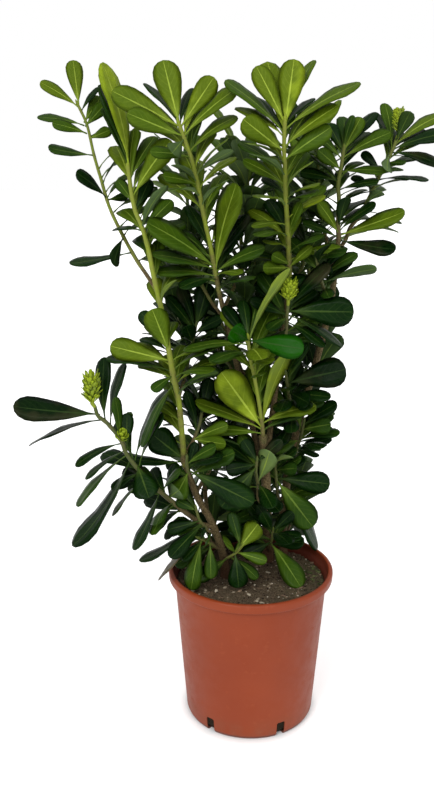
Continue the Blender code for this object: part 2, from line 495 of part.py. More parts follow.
                spray(5, 0.20, 0.62, 6.5, (72, 56), 0.9, 0.95)]),
    "right_inner_shoot": dict(
        carrier="right_trunk", at=(334, 276), thick=(5.4, 3.8), age=0.5,
        path=[(326, 240, 3.6), (320, 205, 5), (318, 170, 6), (317, 142, 6.4)],
        leaves=[],
        sprays=[spray(6, 0.76, 0.985, 7.5, (60, 26), 0.6, 0.4),
                spray(6, 0.20, 0.68, 6.5, (74, 54), 1.0, 0.7)]),
    "heart_rear_shoot": dict(
        carrier="heart_branch", at=(232, 345), thick=(5.0, 3.6), age=0.95,
        path=[(241, 315, -0.5), (250, 285, 1.6), (256, 262, 3)],
        leaves=[],
        sprays=[spray(9, 0.28, 0.97, 6.8, (76, 34), 0.8, 0.95)]),
    "heart_left_shoot": dict(
        carrier="heart_branch", at=(226, 322), thick=(5.0, 3.6), age=0.85,
        path=[(209, 298, -1.5), (196, 272, -0.5), (189, 246, 0.4)],
        leaves=[],
        sprays=[spray(9, 0.28, 0.97, 6.8, (76, 34), 1.9, 0.85)]),
    "middle_dark_shoot": dict(
        carrier="middle_branch", at=(284, 335), thick=(5.0, 3.6), age=0.95,
        path=[(271, 314, 3), (263, 292, 5), (258, 270, 6)],
        leaves=[],
        sprays=[spray(9, 0.28, 0.97, 6.8, (76, 34), 2.6, 0.95)]),
    "trunk_left_shoot": dict(
        carrier="heart_branch", at=(253, 430), thick=(5.0, 3.6), age=0.95,
        path=[(243, 414, 3.6), (234, 396, 5.2), (227, 378, 6.2)],
        leaves=[],
        sprays=[spray(9, 0.28, 0.97, 6.8, (76, 34), 0.4, 0.95)]),
    "trunk_right_shoot": dict(
        carrier="right_trunk", at=(308, 392), thick=(5.0, 3.6), age=0.95,
        path=[(315, 372, 7), (320, 350, 9), (323, 330, 10)],
        leaves=[],
        sprays=[spray(9, 0.28, 0.97, 6.8, (76, 34), 1.4, 0.95)]),
    "right_waist_shoot": dict(
        carrier="right_trunk", at=(330, 308), thick=(5.0, 3.6), age=0.95,
        path=[(324, 290, -1.4), (319, 272, -3.4), (316, 254, -4.6)],
        leaves=[leaf((330, 265), (319, 276), 15, back=-3, age=0.95, long=5.5),
                leaf((377, 268), (322, 284), 9, back=-1, age=0.6, face="under"),
                leaf((298, 284), (321, 282), 13, back=-2.5, age=0.95, long=5.5)],
        sprays=[spray(6, 0.45, 0.97, 6.2, (74, 32), 0.1, 0.9)]),
    "rear_foot_shoot": dict(
        carrier="centre_trunk", at=(268, 548), thick=(4.6, 3.4), age=0.95,
        path=[(262, 532, 9.5), (256, 514, 12), (250, 496, 14)],
        leaves=[],
        sprays=[spray(8, 0.25, 0.97, 6.0, (78, 40), 1.0, 0.95)]),
    "left_rear_shoot": dict(
        carrier="left_trunk", at=(222, 552), thick=(4.6, 3.4), age=0.95,
        path=[(209, 536, 3), (198, 514, 6), (190, 492, 8)],
        leaves=[],
        sprays=[spray(8, 0.25, 0.97, 6.2, (78, 38), 2.0, 0.95)]),
    "right_rear_shoot": dict(
        carrier="right_trunk", at=(284, 540), thick=(4.6, 3.4), age=0.95,
        path=[(292, 520, 12), (298, 496, 14.4), (300, 470, 16)],
        leaves=[],
        sprays=[spray(8, 0.25, 0.97, 6.2, (78, 38), 0.5, 0.95)]),
    "inner_low_shoot": dict(
        carrier="left_trunk", at=(196, 492), thick=(5.0, 3.8), age=0.95,
        path=[(209, 472, 0), (219, 452, 2), (224, 425, 3), (226, 400, 3.6)],
        leaves=[],
        sprays=[spray(8, 0.25, 0.97, 6.5, (76, 34), 1.4, 0.95)]),
}


# The spiky heads of unopened growth at three shoot tips: the tip that carries each, the pixels and the
# depth that it points to, its length in cm and its width in cm
BUD_HEADS = {
    "left_bud_head": dict(carrier="low_left_shoot", top=(91, 372, -9), long=5.0, wide=3.4),
    "right_bud_head": dict(carrier="far_right_shoot", top=(399, 112, 3), long=4.2, wide=2.3),
    "middle_bud_head": dict(carrier="middle_bud_shoot", top=(290, 280, -5.4), long=3.2, wide=3.0),
}
BARE_STEMS = ("left_trunk", "left_tall_shoot", "inner_left_shoot", "tall_right_shoot", "young_middle_shoot",
              "low_left_shoot")
BUD_SCALES = 14
SCALE_WIDTH = 8.5 * MM
CORE_SHARE = 0.62
SCALE_OPENS = (66, 10)
SCALE_SPAN = (0.02, 0.92)
SCALE_LENGTHS = (0.56, 0.66)
SCALE_ARCH = -0.10

# The dense crown in the front view. Leaves set by rule stay inside it, as the open air round it is empty
CROWN_OUTLINE = [
    (96, 60), (104, 110), (112, 170), (118, 210), (140, 240), (150, 262), (156, 300), (140, 318),
    (140, 335), (108, 344), (104, 357), (160, 374), (158, 395), (142, 425), (133, 412), (120, 398),
    (112, 398), (118, 440), (100, 450), (76, 470), (80, 500), (110, 500), (130, 490), (160, 505),
    (140, 555), (168, 560), (160, 580), (190, 592), (245, 592), (300, 588), (290, 545), (315, 545),
    (316, 500), (330, 484), (300, 465), (318, 456), (340, 433), (336, 405), (331, 396), (346, 370),
    (325, 349), (352, 330), (354, 300), (335, 296), (338, 262), (375, 268), (352, 246), (395, 245),
    (405, 212), (378, 204), (388, 182), (434, 180), (434, 112), (395, 103), (372, 96), (360, 82),
    (338, 100), (316, 58), (256, 62), (240, 78), (226, 78), (213, 76), (163, 58), (130, 80)]


def in_crown(point):
    """Whether the front view shows a point inside the dense crown."""
    px, py = shown(point)
    inside = False
    for (ax, ay), (bx, by) in zip(CROWN_OUTLINE, CROWN_OUTLINE[1:] + CROWN_OUTLINE[:1]):
        if (ay > py) != (by > py) and px < ax + (bx - ax) * (py - ay) / (by - ay):
            inside = not inside
    return inside


def mix(first, second, share):
    """A value between two others."""
    return first + (second - first) * share


def inner_radius(height):
    """The radius of the pot's inner wall at a height, at the corners of its turned sides."""
    share = (height - FLOOR) / (POT_HEIGHT - RIM_SKIRT - FLOOR)
    return mix(BASE_RADIUS, SHOULDER_RADIUS, share) - WALL


def soil_radius(height):
    """The radius of the root ball at a height, clear of the flat sides of the wall."""
    return inner_radius(height) * math.cos(math.pi / POT_STEPS) - TOUCH


def soil_height(x, y):
    """The uneven surface of the soil, a little lower towards the wall."""
    waves = math.sin(61 * x + 0.6) * math.cos(53 * y - 0.8) + 0.5 * math.sin(127 * y + 83 * x)
    dish = (math.hypot(x, y) / RIM_RADIUS) ** 2
    return SOIL_TOP + SOIL_DIP * (0.45 * waves - 0.5 * dish)


def paint(name, colour, roughness):
    """A plain material in one colour."""
    material = bpy.data.materials.new(name)
    material.use_nodes = True
    shader = material.node_tree.nodes["Principled BSDF"]
    shader.inputs["Base Color"].default_value = (*colour, 1.0)
    shader.inputs["Roughness"].default_value = roughness
    shader.inputs["Metallic"].default_value = 0.0
    return material


def leaf_colour(age):
    """The green of a shoot, from the spring's yellow-green to old dark green."""
    if age < 0.5:
        return tuple(mix(a, b, age * 2) for a, b in zip(YOUNG, GREEN))
    return tuple(mix(a, b, age * 2 - 1) for a, b in zip(GREEN, DARK))


def add_object(name, mesh, collection, material=None):
    """An object for a mesh, in a collection."""
    thing = bpy.data.objects.new(name, mesh)
    collection.objects.link(thing)
    if material:
        mesh.materials.clear()
        mesh.materials.append(material)
    return thing


def settled_mesh(thing):
    """The mesh of an object with its modifiers applied, its doubles welded and its normals outward."""
    depsgraph = bpy.context.evaluated_depsgraph_get()
    mesh = bpy.data.meshes.new_from_object(thing.evaluated_get(depsgraph))
    shell = bmesh.new()
    shell.from_mesh(mesh)
    bmesh.ops.remove_doubles(shell, verts=shell.verts, dist=0.001 * MM)
    bmesh.ops.recalc_face_normals(shell, faces=shell.faces)
    shell.to_mesh(mesh)
    shell.free()
    return mesh


def turned(name, profile, steps, collection, material):
    """A profile of radius and height, turned about Z, with its ends on the axis."""
    mesh = bpy.data.meshes.new(name)
    mesh.from_pydata([(radius, 0.0, height) for radius, height in profile],
                     [(i, i + 1) for i in range(len(profile) - 1)], [])
    thing = add_object(name, mesh, collection)
    screw = thing.modifiers.new("turn", 'SCREW')
    screw.steps = steps
    screw.render_steps = steps
    screw.use_merge_vertices = True
    screw.merge_threshold = 0.01 * MM
    thing.data = settled_mesh(thing)
    thing.modifiers.clear()
    bpy.data.meshes.remove(mesh)
    thing.data.materials.append(material)
    thing.data.shade_smooth()
    thing.data.set_sharp_from_angle(angle=math.radians(35))
    return thing


def cut(thing, cutter):
    """Take a cutter's shape out of an object."""
    bore = thing.modifiers.new("cut", 'BOOLEAN')
    bore.operation = 'DIFFERENCE'
    bore.solver = 'EXACT'
    bore.object = cutter
    cutter.hide_render = True
    cutter.display_type = 'WIRE'


def make_pot(parts, cutters):
    """The moulded pot: a tapered wall, a rolled rim with its skirt, and slots at the foot for drainage."""
    skirt_foot = POT_HEIGHT - RIM_SKIRT
    bend = skirt_foot + BEND_HEIGHT
    profile = [
        (0.0, FLOOR), (inner_radius(FLOOR), FLOOR), (inner_radius(skirt_foot), skirt_foot),
        (MOUTH_RADIUS, bend), (MOUTH_RADIUS + LIP / 4, POT_HEIGHT - LIP / 2),
        (MOUTH_RADIUS + LIP, POT_HEIGHT), (RIM_RADIUS - LIP, POT_HEIGHT - LIP / 3),
        (RIM_RADIUS, POT_HEIGHT - LIP_DROP), (RIM_RADIUS - LIP / 3, skirt_foot),
        (RIM_RADIUS - LIP, skirt_foot),
        (RIM_RADIUS - LIP, POT_HEIGHT - LIP_DROP), (MOUTH_RADIUS + WALL + LIP / 3, POT_HEIGHT - LIP_DROP),
        (MOUTH_RADIUS + WALL, bend), (SHOULDER_RADIUS, skirt_foot - WALL),
        (BASE_RADIUS, BASE_ROUND), (BASE_RADIUS - BASE_ROUND, 0.0), (0.0, 0.0)]
    pot = turned("pot", profile, POT_STEPS, parts, paint("terracotta plastic", TERRACOTTA, 0.55))
    slots = bmesh.new()
    for azimuth in SLOT_AZIMUTHS:
        swing = Matrix.Rotation(math.radians(azimuth), 4, 'Z')
        size = Matrix.Diagonal((SLOT_WIDTH, SLOT_REACH, SLOT_HEIGHT + SLOT_BELOW, 1.0))
        place = Matrix.Translation((0.0, -BASE_RADIUS, (SLOT_HEIGHT - SLOT_BELOW) / 2))
        bmesh.ops.create_cube(slots, size=1.0, matrix=swing @ place @ size)
    mesh = bpy.data.meshes.new("drainage_slots")
    slots.to_mesh(mesh)
    slots.free()
    cut(pot, add_object("drainage_slots", mesh, cutters))


def make_soil(parts, cutters, trunks):
    """The root ball: it fills the pot to just under the rim, with a plain hole for each trunk."""
    top_radius = soil_radius(SOIL_TOP)
    profile = [(top_radius * share, SOIL_TOP) for share in SOIL_RINGS]
    profile += [(top_radius, SOIL_TOP - SOIL_EDGE), (soil_radius(FLOOR), FLOOR + TOUCH),
                (0.0, FLOOR + TOUCH)]
    soil = turned("soil", profile, SOIL_STEPS, parts, paint("potting soil", EARTH, 0.95))
    for vertex in soil.data.vertices:
        if vertex.co.z > SOIL_TOP - 1 * MM:
            vertex.co.z = soil_height(vertex.co.x, vertex.co.y)
    holes = bmesh.new()
    for trunk in trunks:
        foot = trunk.points[0]
        radius = (trunk.radii[0] + TOUCH) / math.cos(math.pi / HOLE_SIDES)
        place = Matrix.Translation((foot.x, foot.y, foot.z - TOUCH + HOLE_DEPTH))
        bmesh.ops.create_cone(holes, cap_ends=True, segments=HOLE_SIDES, radius1=radius,
                              radius2=radius, depth=2 * HOLE_DEPTH, matrix=place)
    mesh = bpy.data.meshes.new("trunk_holes")
    holes.to_mesh(mesh)
    holes.free()
    cut(soil, add_object("trunk_holes", mesh, cutters))


class Stem:
    """A tapered stem along sampled points, with the stubs of the stems that it carries."""

    def __init__(self, name, points, radii, age=None):
        self.name = name
        self.points = points
        self.radii = radii
        self.age = age
        self.stubs = []
        self.leaves = []
        self.reach = [0.0]
        for here, there in zip(points, points[1:]):
            self.reach.append(self.reach[-1] + (there - here).length)

    @property
    def length(self):
        return self.reach[-1]

    def at(self, fraction):
        """The point, direction and radius at a fraction of the stem's length."""
        goal = fraction * self.length
        for i in range(len(self.points) - 1):
            if goal <= self.reach[i + 1] or i == len(self.points) - 2:
                share = (goal - self.reach[i]) / (self.reach[i + 1] - self.reach[i])
                step = self.points[i + 1] - self.points[i]
                return (self.points[i] + step * share, step.normalized(),
                        mix(self.radii[i], self.radii[i + 1], share))

    def nearest(self, pixel):
        """The fraction of the stem's length that the front view shows nearest to a pixel."""
        tries = [k / 200 for k in range(201)]
        return min(tries, key=lambda f: math.dist(shown(self.at(f)[0]), pixel))


def smooth_path(knots, heading):
    """Points at even steps along one smooth curve through the knots, starting in a heading."""
    tangents = [heading * (knots[1] - knots[0]).length]
    tangents += [(after - before) / 2 for before, after in zip(knots, knots[2:])]
    tangents.append(knots[-1] - knots[-2])
    fine = []
    for i in range(len(knots) - 1):
        for k in range(KNOT_STEPS):
            t = k / KNOT_STEPS
            fine.append(knots[i] * (2 * t ** 3 - 3 * t ** 2 + 1) + tangents[i] * (t ** 3 - 2 * t ** 2 + t)
                        + knots[i + 1] * (3 * t ** 2 - 2 * t ** 3) + tangents[i + 1] * (t ** 3 - t ** 2))
    fine.append(knots[-1])
    track = Stem("track", fine, [0.0] * len(fine))
    count = max(2, round(track.length / STEM_STEP))
    return [track.at(k / count)[0] for k in range(count + 1)]


def grow_stem(name, plan, stems):
    """A woody stem or the stem of a shoot, set on the stem that carries it or in the soil."""
    knots = [seen(*knot) for knot in plan["path"]]
    base_radius, tip_radius = (thick / 2 * MM for thick in plan["thick"])
    if plan["carrier"] is None:
        across, along = (value * CM for value in plan["foot"])
        foot = Vector((across, along, SOIL_TOP - HOLE_DEPTH + TOUCH))
        start = Vector((across, along, SOIL_TOP + LEAD))
        heading = Vector((0.0, 0.0, 1.0))
    else:
        carrier = stems[plan["carrier"]]
        if plan["at"] is None:
            socket, heading, _ = carrier.at(1.0)
            stub = 0.0
        else:
            socket, along, carrier_radius = carrier.at(carrier.nearest(plan["at"]))
            heading = (knots[0] - socket).normalized()
            fork = max(heading.angle(along), LEAST_FORK)
            sideways = (heading - along * heading.dot(along)).normalized()
            heading = along * math.cos(fork) + sideways * math.sin(fork)
            stub = (carrier_radius + BARK_GAP + base_radius * abs(math.cos(fork))) / math.sin(fork)
            stub = min(stub, LONGEST_STUB)
            carrier.stubs.append((socket, socket + heading * stub, base_radius))
        foot = socket + heading * (stub + TOUCH)
        start = foot + heading * LEAD
    if (knots[0] - start).length < 2 * LEAD or (knots[0] - start).dot(heading) < 0:
        knots = knots[1:]
    points = [foot] + smooth_path([start] + knots, heading)
    reach = Stem("reach", points, [0.0] * len(points)).reach
    radii = [mix(base_radius, tip_radius, part / reach[-1]) for part in reach]
    return Stem(name, points, radii, plan.get("age"))


def tube(name, points, radii):
    """A closed tube along points, as a mesh, with six sides on a stout stem and four on a thin one."""
    curve = bpy.data.curves.new(name, 'CURVE')
    curve.dimensions = '3D'
    curve.bevel_depth = MM
    curve.bevel_resolution = 1 if radii[0] > STOUT_FROM else 0
    curve.use_fill_caps = True
    spline = curve.splines.new('POLY')
    spline.points.add(len(points) - 1)
    for knot, point, radius in zip(spline.points, points, radii):
        knot.co = (*point, 1.0)
        knot.radius = radius / MM
    rail = bpy.data.objects.new(name, curve)
    bpy.context.scene.collection.objects.link(rail)
    mesh = settled_mesh(rail)
    bpy.data.objects.remove(rail)
    bpy.data.curves.remove(curve)
    return mesh


def outline(along):
    """The half width of a blade at a share of its length, as a part of its greatest half width."""
    along = max(along, 0.0)
    return along ** 0.9 * math.sqrt(max(1.0 - along ** 3, 0.0)) / 0.589


class Leaf:
    """One leaf: a curved midrib from root to tip, and the side that its upper face looks to."""

    def __init__(self, root, tip, normal, width, arch, age, rows):
        self.root = root
        self.tip = tip
        self.normal = normal
        self.width = width
        self.age = age
        self.rows = rows
        self.bend = (root + tip) / 2 + normal * (arch * (tip - root).length)

    def frame(self, t):
        """The midrib's point at a share of the length, the blade's side and upward directions, its half."""
        middle = self.root * (1 - t) ** 2 + self.bend * (2 * t * (1 - t)) + self.tip * t ** 2
        forward = ((self.bend - self.root) * (1 - t) + (self.tip - self.bend) * t).normalized()
        side = forward.cross(self.normal).normalized()
        blade = outline((t - BLADE_STARTS) / (1 - BLADE_STARTS)) * self.width / 2
        return middle, side, side.cross(forward), max(blade, PETIOLE / 2)

    def shell(self):
        """The points and triangles of the leaf, a thin solid of three sides with a pointed root."""
        points = []
        for t in self.rows:
            middle, side, up, half = self.frame(t)
            top = middle + up * (RIB / 2)
            points += [top - side * half, top + side * half, middle - up * (RIB / 2)]
        tip, root = len(points), len(points) + 1
        points += [self.tip, self.root - (self.bend - self.root).normalized() * ROOT_DEPTH]
        faces = [(0, 1, root), (1, 2, root), (2, 0, root)]
        for near in range(0, tip - 3, 3):
            left, right, rib = near, near + 1, near + 2
            faces += [(left, left + 3, right + 3), (left, right + 3, right)]
            faces += [(left, rib + 3, left + 3), (left, rib, rib + 3)]
            faces += [(right, right + 3, rib + 3), (right, rib + 3, rib)]
        left, right, rib = tip - 3, tip - 2, tip - 1
        faces += [(left, tip, right), (right, tip, rib), (rib, tip, left)]
        return points, faces

    def guard(self, petiole=True):
        """A plain sleeve round the leaf, a clearance wider on all sides, with its petiole or without."""
        points = []
        for t in ([0.0] if petiole else []) + list(self.rows) + [1.0]:
            middle, side, up, half = self.frame(t)
            if t == 1.0:
                middle = middle + (self.tip - self.bend).normalized() * CLEARANCE
            across = side * (half + CLEARANCE)
            above = up * (RIB / 2 + CLEARANCE)
            points += [middle - across + above, middle + across + above,
                       middle + across - above, middle - across - above]
        faces = [(0, 1, 2, 3), tuple(len(points) - k for k in (1, 2, 3, 4))]
        for near in range(0, len(points) - 4, 4):
            for k in range(4):
                after = (k + 1) % 4
                faces.append((near + k, near + 4 + k, near + 4 + after, near + after))
        return points, faces


class Space:
    """What already stands in the plant, so that a new leaf can be kept clear of it."""

    def __init__(self):
        self.solids = []

    @staticmethod
    def body(points, faces):
        lows = [min(p[k] for p in points) for k in range(3)]
        highs = [max(p[k] for p in points) for k in range(3)]
        return (BVHTree.FromPolygons([tuple(p) for p in points], faces), lows, highs)

    @staticmethod
    def touch(first, second):
        for k in range(3):
            if first[1][k] > second[2][k] or second[1][k] > first[2][k]:
                return False
        return bool(first[0].overlap(second[0]))

    def add_solid(self, owner, mesh):
        """A stem, a bud head or the pot, which a leaf of its own stem may leave but not cross again."""
        mesh.calc_loop_triangles()
        body = self.body([v.co for v in mesh.vertices], [tuple(t.vertices) for t in mesh.loop_triangles])
        self.solids.append((owner, body, body, True))

    def add_leaf(self, owner, new_leaf):
        whole = self.body(*new_leaf.guard())
        blade = self.body(*new_leaf.guard(petiole=False))
        self.solids.append((owner, whole, blade, False))

    def clear(self, owner, new_leaf):
        """Whether a leaf misses everything that it has to miss."""
        whole = self.body(*new_leaf.guard())
        blade = self.body(*new_leaf.guard(petiole=False))
        for other, other_whole, other_blade, is_solid in self.solids:
            if other == owner:
                if self.touch(blade, other_whole if is_solid else other_blade):
                    return False
            elif self.touch(whole, other_whole):
                return False
        return True


class View:
    """The leaves and stems that the front view shows plainly, so that no leaf set by rule hides them."""

    def __init__(self, leaves, bare):
        points, faces = [], []
        for drawn in leaves:
            corners, sides = drawn.guard()
            faces += [tuple(len(points) + k for k in side) for side in sides]
            points += [tuple(corner) for corner in corners]
        for stem in bare:
            first = len(points)
            for point, radius in zip(stem.points, stem.radii):
                points += [(point.x - radius, point.y, point.z), (point.x + radius, point.y, point.z)]
            faces += [(k, k + 1, k + 3, k + 2) for k in range(first, len(points) - 2, 2)]
        self.tree = BVHTree.FromPolygons(points, faces)

    def blocked(self, trial):
        """Whether a leaf would stand before one of them."""
        for t in VIEW_ROWS:
            middle, side, _, half = trial.frame(t)
            for point in (middle, middle + side * half, middle - side * half):
                if self.tree.ray_cast(point, (point - EYE).normalized())[0] is not None:
                    return True
        return False


def facing_normal(axis, root, turn, face):
    """The side that a blade's upper face looks to, when the view sees it turned away by an angle."""
    to_eye = (EYE - root).normalized()
    facing = (to_eye - axis * to_eye.dot(axis)).normalized()
    sideways = axis.cross(facing)
    if sideways.z < 0:
        sideways = -sideways
    if face == "under":
        facing = -facing
    return facing * math.cos(turn) + sideways * math.sin(turn)


def drawn_leaf(stem, plan, push, roll, scale):
    """A leaf read from the front view, pushed in depth, rolled about its midrib and scaled."""
    margin = LEAF_MARGIN / stem.length
    fraction = min(max(stem.nearest(plan["root"]), margin), 1.0 - margin)
    root = stem.at(fraction)[0]
    depth = root.y / CM
    flat = seen(*plan["tip"], depth) - root
    back = plan["back"]
    if back is None:
        spare = (plan["long"] * CM) ** 2 - flat.length ** 2
        back = math.copysign(math.sqrt(max(spare, 0.0)) / CM, flat.z)
    tip = seen(*plan["tip"], depth + back + push)
    tip = root + (tip - root) * scale
    length = (tip - root).length
    axis = (tip - root).normalized()
    across = plan["wide"] * (tip - EYE).length / VIEW_FOCAL
    width = max(SLENDER * length, across)
    turn = math.acos(min(across / width, 1.0)) + roll
    age = stem.age if plan["age"] is None else plan["age"]
    normal = facing_normal(axis, root, turn, plan["face"])
    rows = WIDE_ROWS if width > WIDE_FROM else RULE_ROWS
    return Leaf(root, tip, normal, width, plan["arch"], age, rows)


def place_drawn_leaves(stem, plans, space):
    """The leaves read from the front view, each moved in depth until it clears the others."""
    for plan in plans:
        for scale, push, roll in itertools.product(DRAWN_SCALES, DRAWN_PUSHES, DRAWN_ROLLS):
            trial = drawn_leaf(stem, plan, push, roll, scale)
            if space.clear(stem.name, trial):
                stem.leaves.append(trial)
                space.add_leaf(stem.name, trial)
                break


def rule_leaf(stem, fraction, azimuth, opening, length, age):
    """A leaf set on a stem by its angle round it and its angle from it."""
    root, along, _ = stem.at(fraction)
    side = along.cross(Vector((0.0, 1.0, 0.0))).normalized()
    around = side * math.cos(azimuth) + along.cross(side) * math.sin(azimuth)
    axis = (along * math.cos(opening) + around * math.sin(opening)).normalized()
    normal = (along - axis * along.dot(axis)).normalized()
    arch = 0.05 + 0.09 * math.sin(opening)
    return Leaf(root, root + axis * length, normal, length * SLENDER * 1.08, arch, age, RULE_ROWS)


def place_spray(stem, plan, space, view, draw):
    """Leaves round a stem by the golden angle, each swung aside or shortened until it is clear."""
    for k in range(plan["count"]):
        share = k / max(plan["count"] - 1, 1)
        fraction = mix(plan["start"], plan["end"], share)
        azimuth = plan["turn"] + k * GOLDEN_ANGLE + draw.uniform(-0.2, 0.2)
        opening = math.radians(mix(*plan["opens"], share) + draw.uniform(-6, 6))
        length = plan["long"] * CM * draw.uniform(0.84, 1.1)
        age = stem.age if plan["age"] is None else plan["age"]
        age = min(max(age + draw.uniform(-0.12, 0.12), 0.0), 1.0)
        for scale, tilt, swing in itertools.product(RULE_SCALES, RULE_TILTS, RULE_SWINGS):
            trial = rule_leaf(stem, fraction, azimuth + swing, opening + tilt, length * scale, age)
            if not in_crown(trial.tip) or not in_crown(trial.bend) or view.blocked(trial):
                continue
            if space.clear(stem.name, trial):
                stem.leaves.append(trial)
                space.add_leaf(stem.name, trial)
                break


def is_one_body(mesh):
    """Whether a mesh is one closed body with its faces outward."""
    shell = bmesh.new()
    shell.from_mesh(mesh)
    closed = all(edge.is_manifold for edge in shell.edges) and shell.calc_volume(signed=True) > 0
    shell.verts.ensure_lookup_table()
    found, waiting = {0}, [shell.verts[0]]
    while waiting:
        for edge in waiting.pop().link_edges:
            for vertex in edge.verts:
                if vertex.index not in found:
                    found.add(vertex.index)
                    waiting.append(vertex)
    whole = len(found) == len(shell.verts)
    shell.free()
    return closed and whole


def fuse(name, body_mesh, pieces, parts, material):
    """One object of a body and the pieces that grow from it, joined in one Boolean union."""
    body = add_object(name, body_mesh, parts)
    group = bpy.data.collections.new(name + "_growth")
    bpy.context.scene.collection.children.link(group)
    for k, mesh in enumerate(pieces):
        add_object(f"{name}_piece_{k}", mesh, group)
    union = body.modifiers.new("growth", 'BOOLEAN')
    union.operation = 'UNION'
    union.operand_type = 'COLLECTION'
    union.collection = group
    for solver in ('EXACT', 'MANIFOLD'):
        union.solver = solver
        depsgraph = bpy.context.evaluated_depsgraph_get()
        mesh = bpy.data.meshes.new_from_object(body.evaluated_get(depsgraph))
        if is_one_body(mesh):
            break
    body.modifiers.clear()
    body.data = mesh
    mesh.name = name
    mesh.materials.clear()
    mesh.materials.append(material)
    for piece in list(group.objects):
        bpy.data.objects.remove(piece)
    bpy.data.collections.remove(group)
    return body


def leaf_mesh(name, grown):
    """The mesh of one leaf."""
    points, faces = grown.shell()
    mesh = bpy.data.meshes.new(name)
    mesh.from_pydata(points, [], faces)
    return mesh


def bud_head(name, plan, carrier):
    """The core of a bud head and its narrow scales, each a curved spike set by the golden angle."""
    start, along, radius = carrier.at(1.0)
    neck = start + along * LEAD
    heading = (seen(*plan["top"]) - neck).normalized()
    top = neck + heading * (plan["long"] * CM * CORE_SHARE - LEAD)
    core = tube(name, [start + along * TOUCH, neck, mix(neck, top, 0.6), top],
                [radius, radius * 1.15, radius * 1.1, radius * 0.45])
    side = heading.cross(Vector((0.0, 1.0, 0.0))).normalized()
    pieces = []
    for k in range(BUD_SCALES):
        share = (k + 0.5) / BUD_SCALES
        azimuth = k * GOLDEN_ANGLE
        opening = math.radians(mix(*SCALE_OPENS, share))
        around = side * math.cos(azimuth) + heading.cross(side) * math.sin(azimuth)
        axis = heading * math.cos(opening) + around * math.sin(opening)
        root = mix(neck, top, mix(*SCALE_SPAN, share))
        length = plan["wide"] * CM * mix(*SCALE_LENGTHS, share)
        normal = (heading - axis * heading.dot(axis)).normalized()
        spike = Leaf(root, root + axis * length, normal, SCALE_WIDTH, SCALE_ARCH, carrier.age, SCALE_ROWS)
        pieces.append(leaf_mesh(f"{name}_scale_{k}", spike))
    return core, pieces


def main():
    for thing in list(bpy.data.objects):
        bpy.data.objects.remove(thing)
    parts = bpy.data.collections.new("potted_pittosporum")
    cutters = bpy.data.collections.new("cutters")
    for collection in (parts, cutters):
        bpy.context.scene.collection.children.link(collection)

    stems = {}
    for name, plan in {**WOOD, **SHOOTS}.items():
        stems[name] = grow_stem(name, plan, stems)
    make_pot(parts, cutters)
    make_soil(parts, cutters, [stems[name] for name in WOOD if WOOD[name]["carrier"] is None])

    space = Space()
    tubes = {name: tube(name, stem.points, stem.radii) for name, stem in stems.items()}
    stub_tubes = {name: [tube(f"{name}_stub", [socket, end], [radius, radius])
                         for socket, end, radius in stem.stubs] for name, stem in stems.items()}
    heads = {name: bud_head(name, plan, stems[plan["carrier"]]) for name, plan in BUD_HEADS.items()}
    for name in stems:
        for mesh in [tubes[name], *stub_tubes[name]]:
            space.add_solid(name, mesh)
    for name, (core, scales) in heads.items():
        for mesh in [core, *scales]:
            space.add_solid(name, mesh)
    for name in ("pot", "soil"):
        space.add_solid(name, settled_mesh(bpy.data.objects[name]))

    draw = random.Random(SEED)
    for name, plan in SHOOTS.items():
        place_drawn_leaves(stems[name], plan["leaves"], space)
    view = View([drawn for name in SHOOTS for drawn in stems[name].leaves],
                [stems[name] for name in BARE_STEMS])
    for name, plan in SHOOTS.items():
        for rule in plan["sprays"]:
            place_spray(stems[name], rule, space, view, draw)

    bark = paint("bark", BARK, 0.85)
    for name in WOOD:
        fuse(name, tubes[name], stub_tubes[name], parts, bark)
    for name in SHOOTS:
        stem = stems[name]
        leaves = [leaf_mesh(f"{name}_leaf_{k}", grown) for k, grown in enumerate(stem.leaves)]
        age = sum(grown.age for grown in stem.leaves) / len(stem.leaves)
        fuse(name, tubes[name], stub_tubes[name] + leaves, parts, paint(name, leaf_colour(age), 0.4))
    for name, (core, scales) in heads.items():
        fuse(name, core, scales, parts, paint(name, YOUNG, 0.5))


if __name__ == "__main__":
    main()
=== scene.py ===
"""The looks of a potted pittosporum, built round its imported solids.

The plant is grown again from its plan, so that each fine stem and leaf stands where its solid does. A leaf
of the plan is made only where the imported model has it. More leaves are then set in the gaps of the crown.
Three trees of geometry nodes turn the plan into meshes: one for stems and leaves, one for the pot and its
soil, and one for what is strewn on the soil. All sizes are in metres, where nothing else is said.
"""
import itertools
import json
import math
import random
from functools import partial

import bmesh
import bpy
import numpy as np
from mathutils import Matrix, Vector, noise
from mathutils.bvhtree import BVHTree
from mathutils.kdtree import KDTree


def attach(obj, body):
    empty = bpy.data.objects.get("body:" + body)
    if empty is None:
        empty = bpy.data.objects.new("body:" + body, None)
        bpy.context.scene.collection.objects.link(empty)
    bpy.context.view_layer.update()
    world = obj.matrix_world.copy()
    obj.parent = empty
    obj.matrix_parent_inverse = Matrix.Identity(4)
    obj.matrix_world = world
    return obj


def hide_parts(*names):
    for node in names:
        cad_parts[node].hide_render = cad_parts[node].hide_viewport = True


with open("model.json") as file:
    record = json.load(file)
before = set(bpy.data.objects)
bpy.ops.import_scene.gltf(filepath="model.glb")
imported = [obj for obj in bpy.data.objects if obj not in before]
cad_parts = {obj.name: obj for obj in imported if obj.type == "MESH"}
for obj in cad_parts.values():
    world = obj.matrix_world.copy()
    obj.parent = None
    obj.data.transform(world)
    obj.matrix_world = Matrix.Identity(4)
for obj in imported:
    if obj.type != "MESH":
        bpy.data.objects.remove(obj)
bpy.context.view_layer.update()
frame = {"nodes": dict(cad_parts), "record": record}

CM = 0.01
MM = 0.001
TOUCH = 0.3 * MM
BACKWARD = Vector((0.0, 1.0, 0.0))

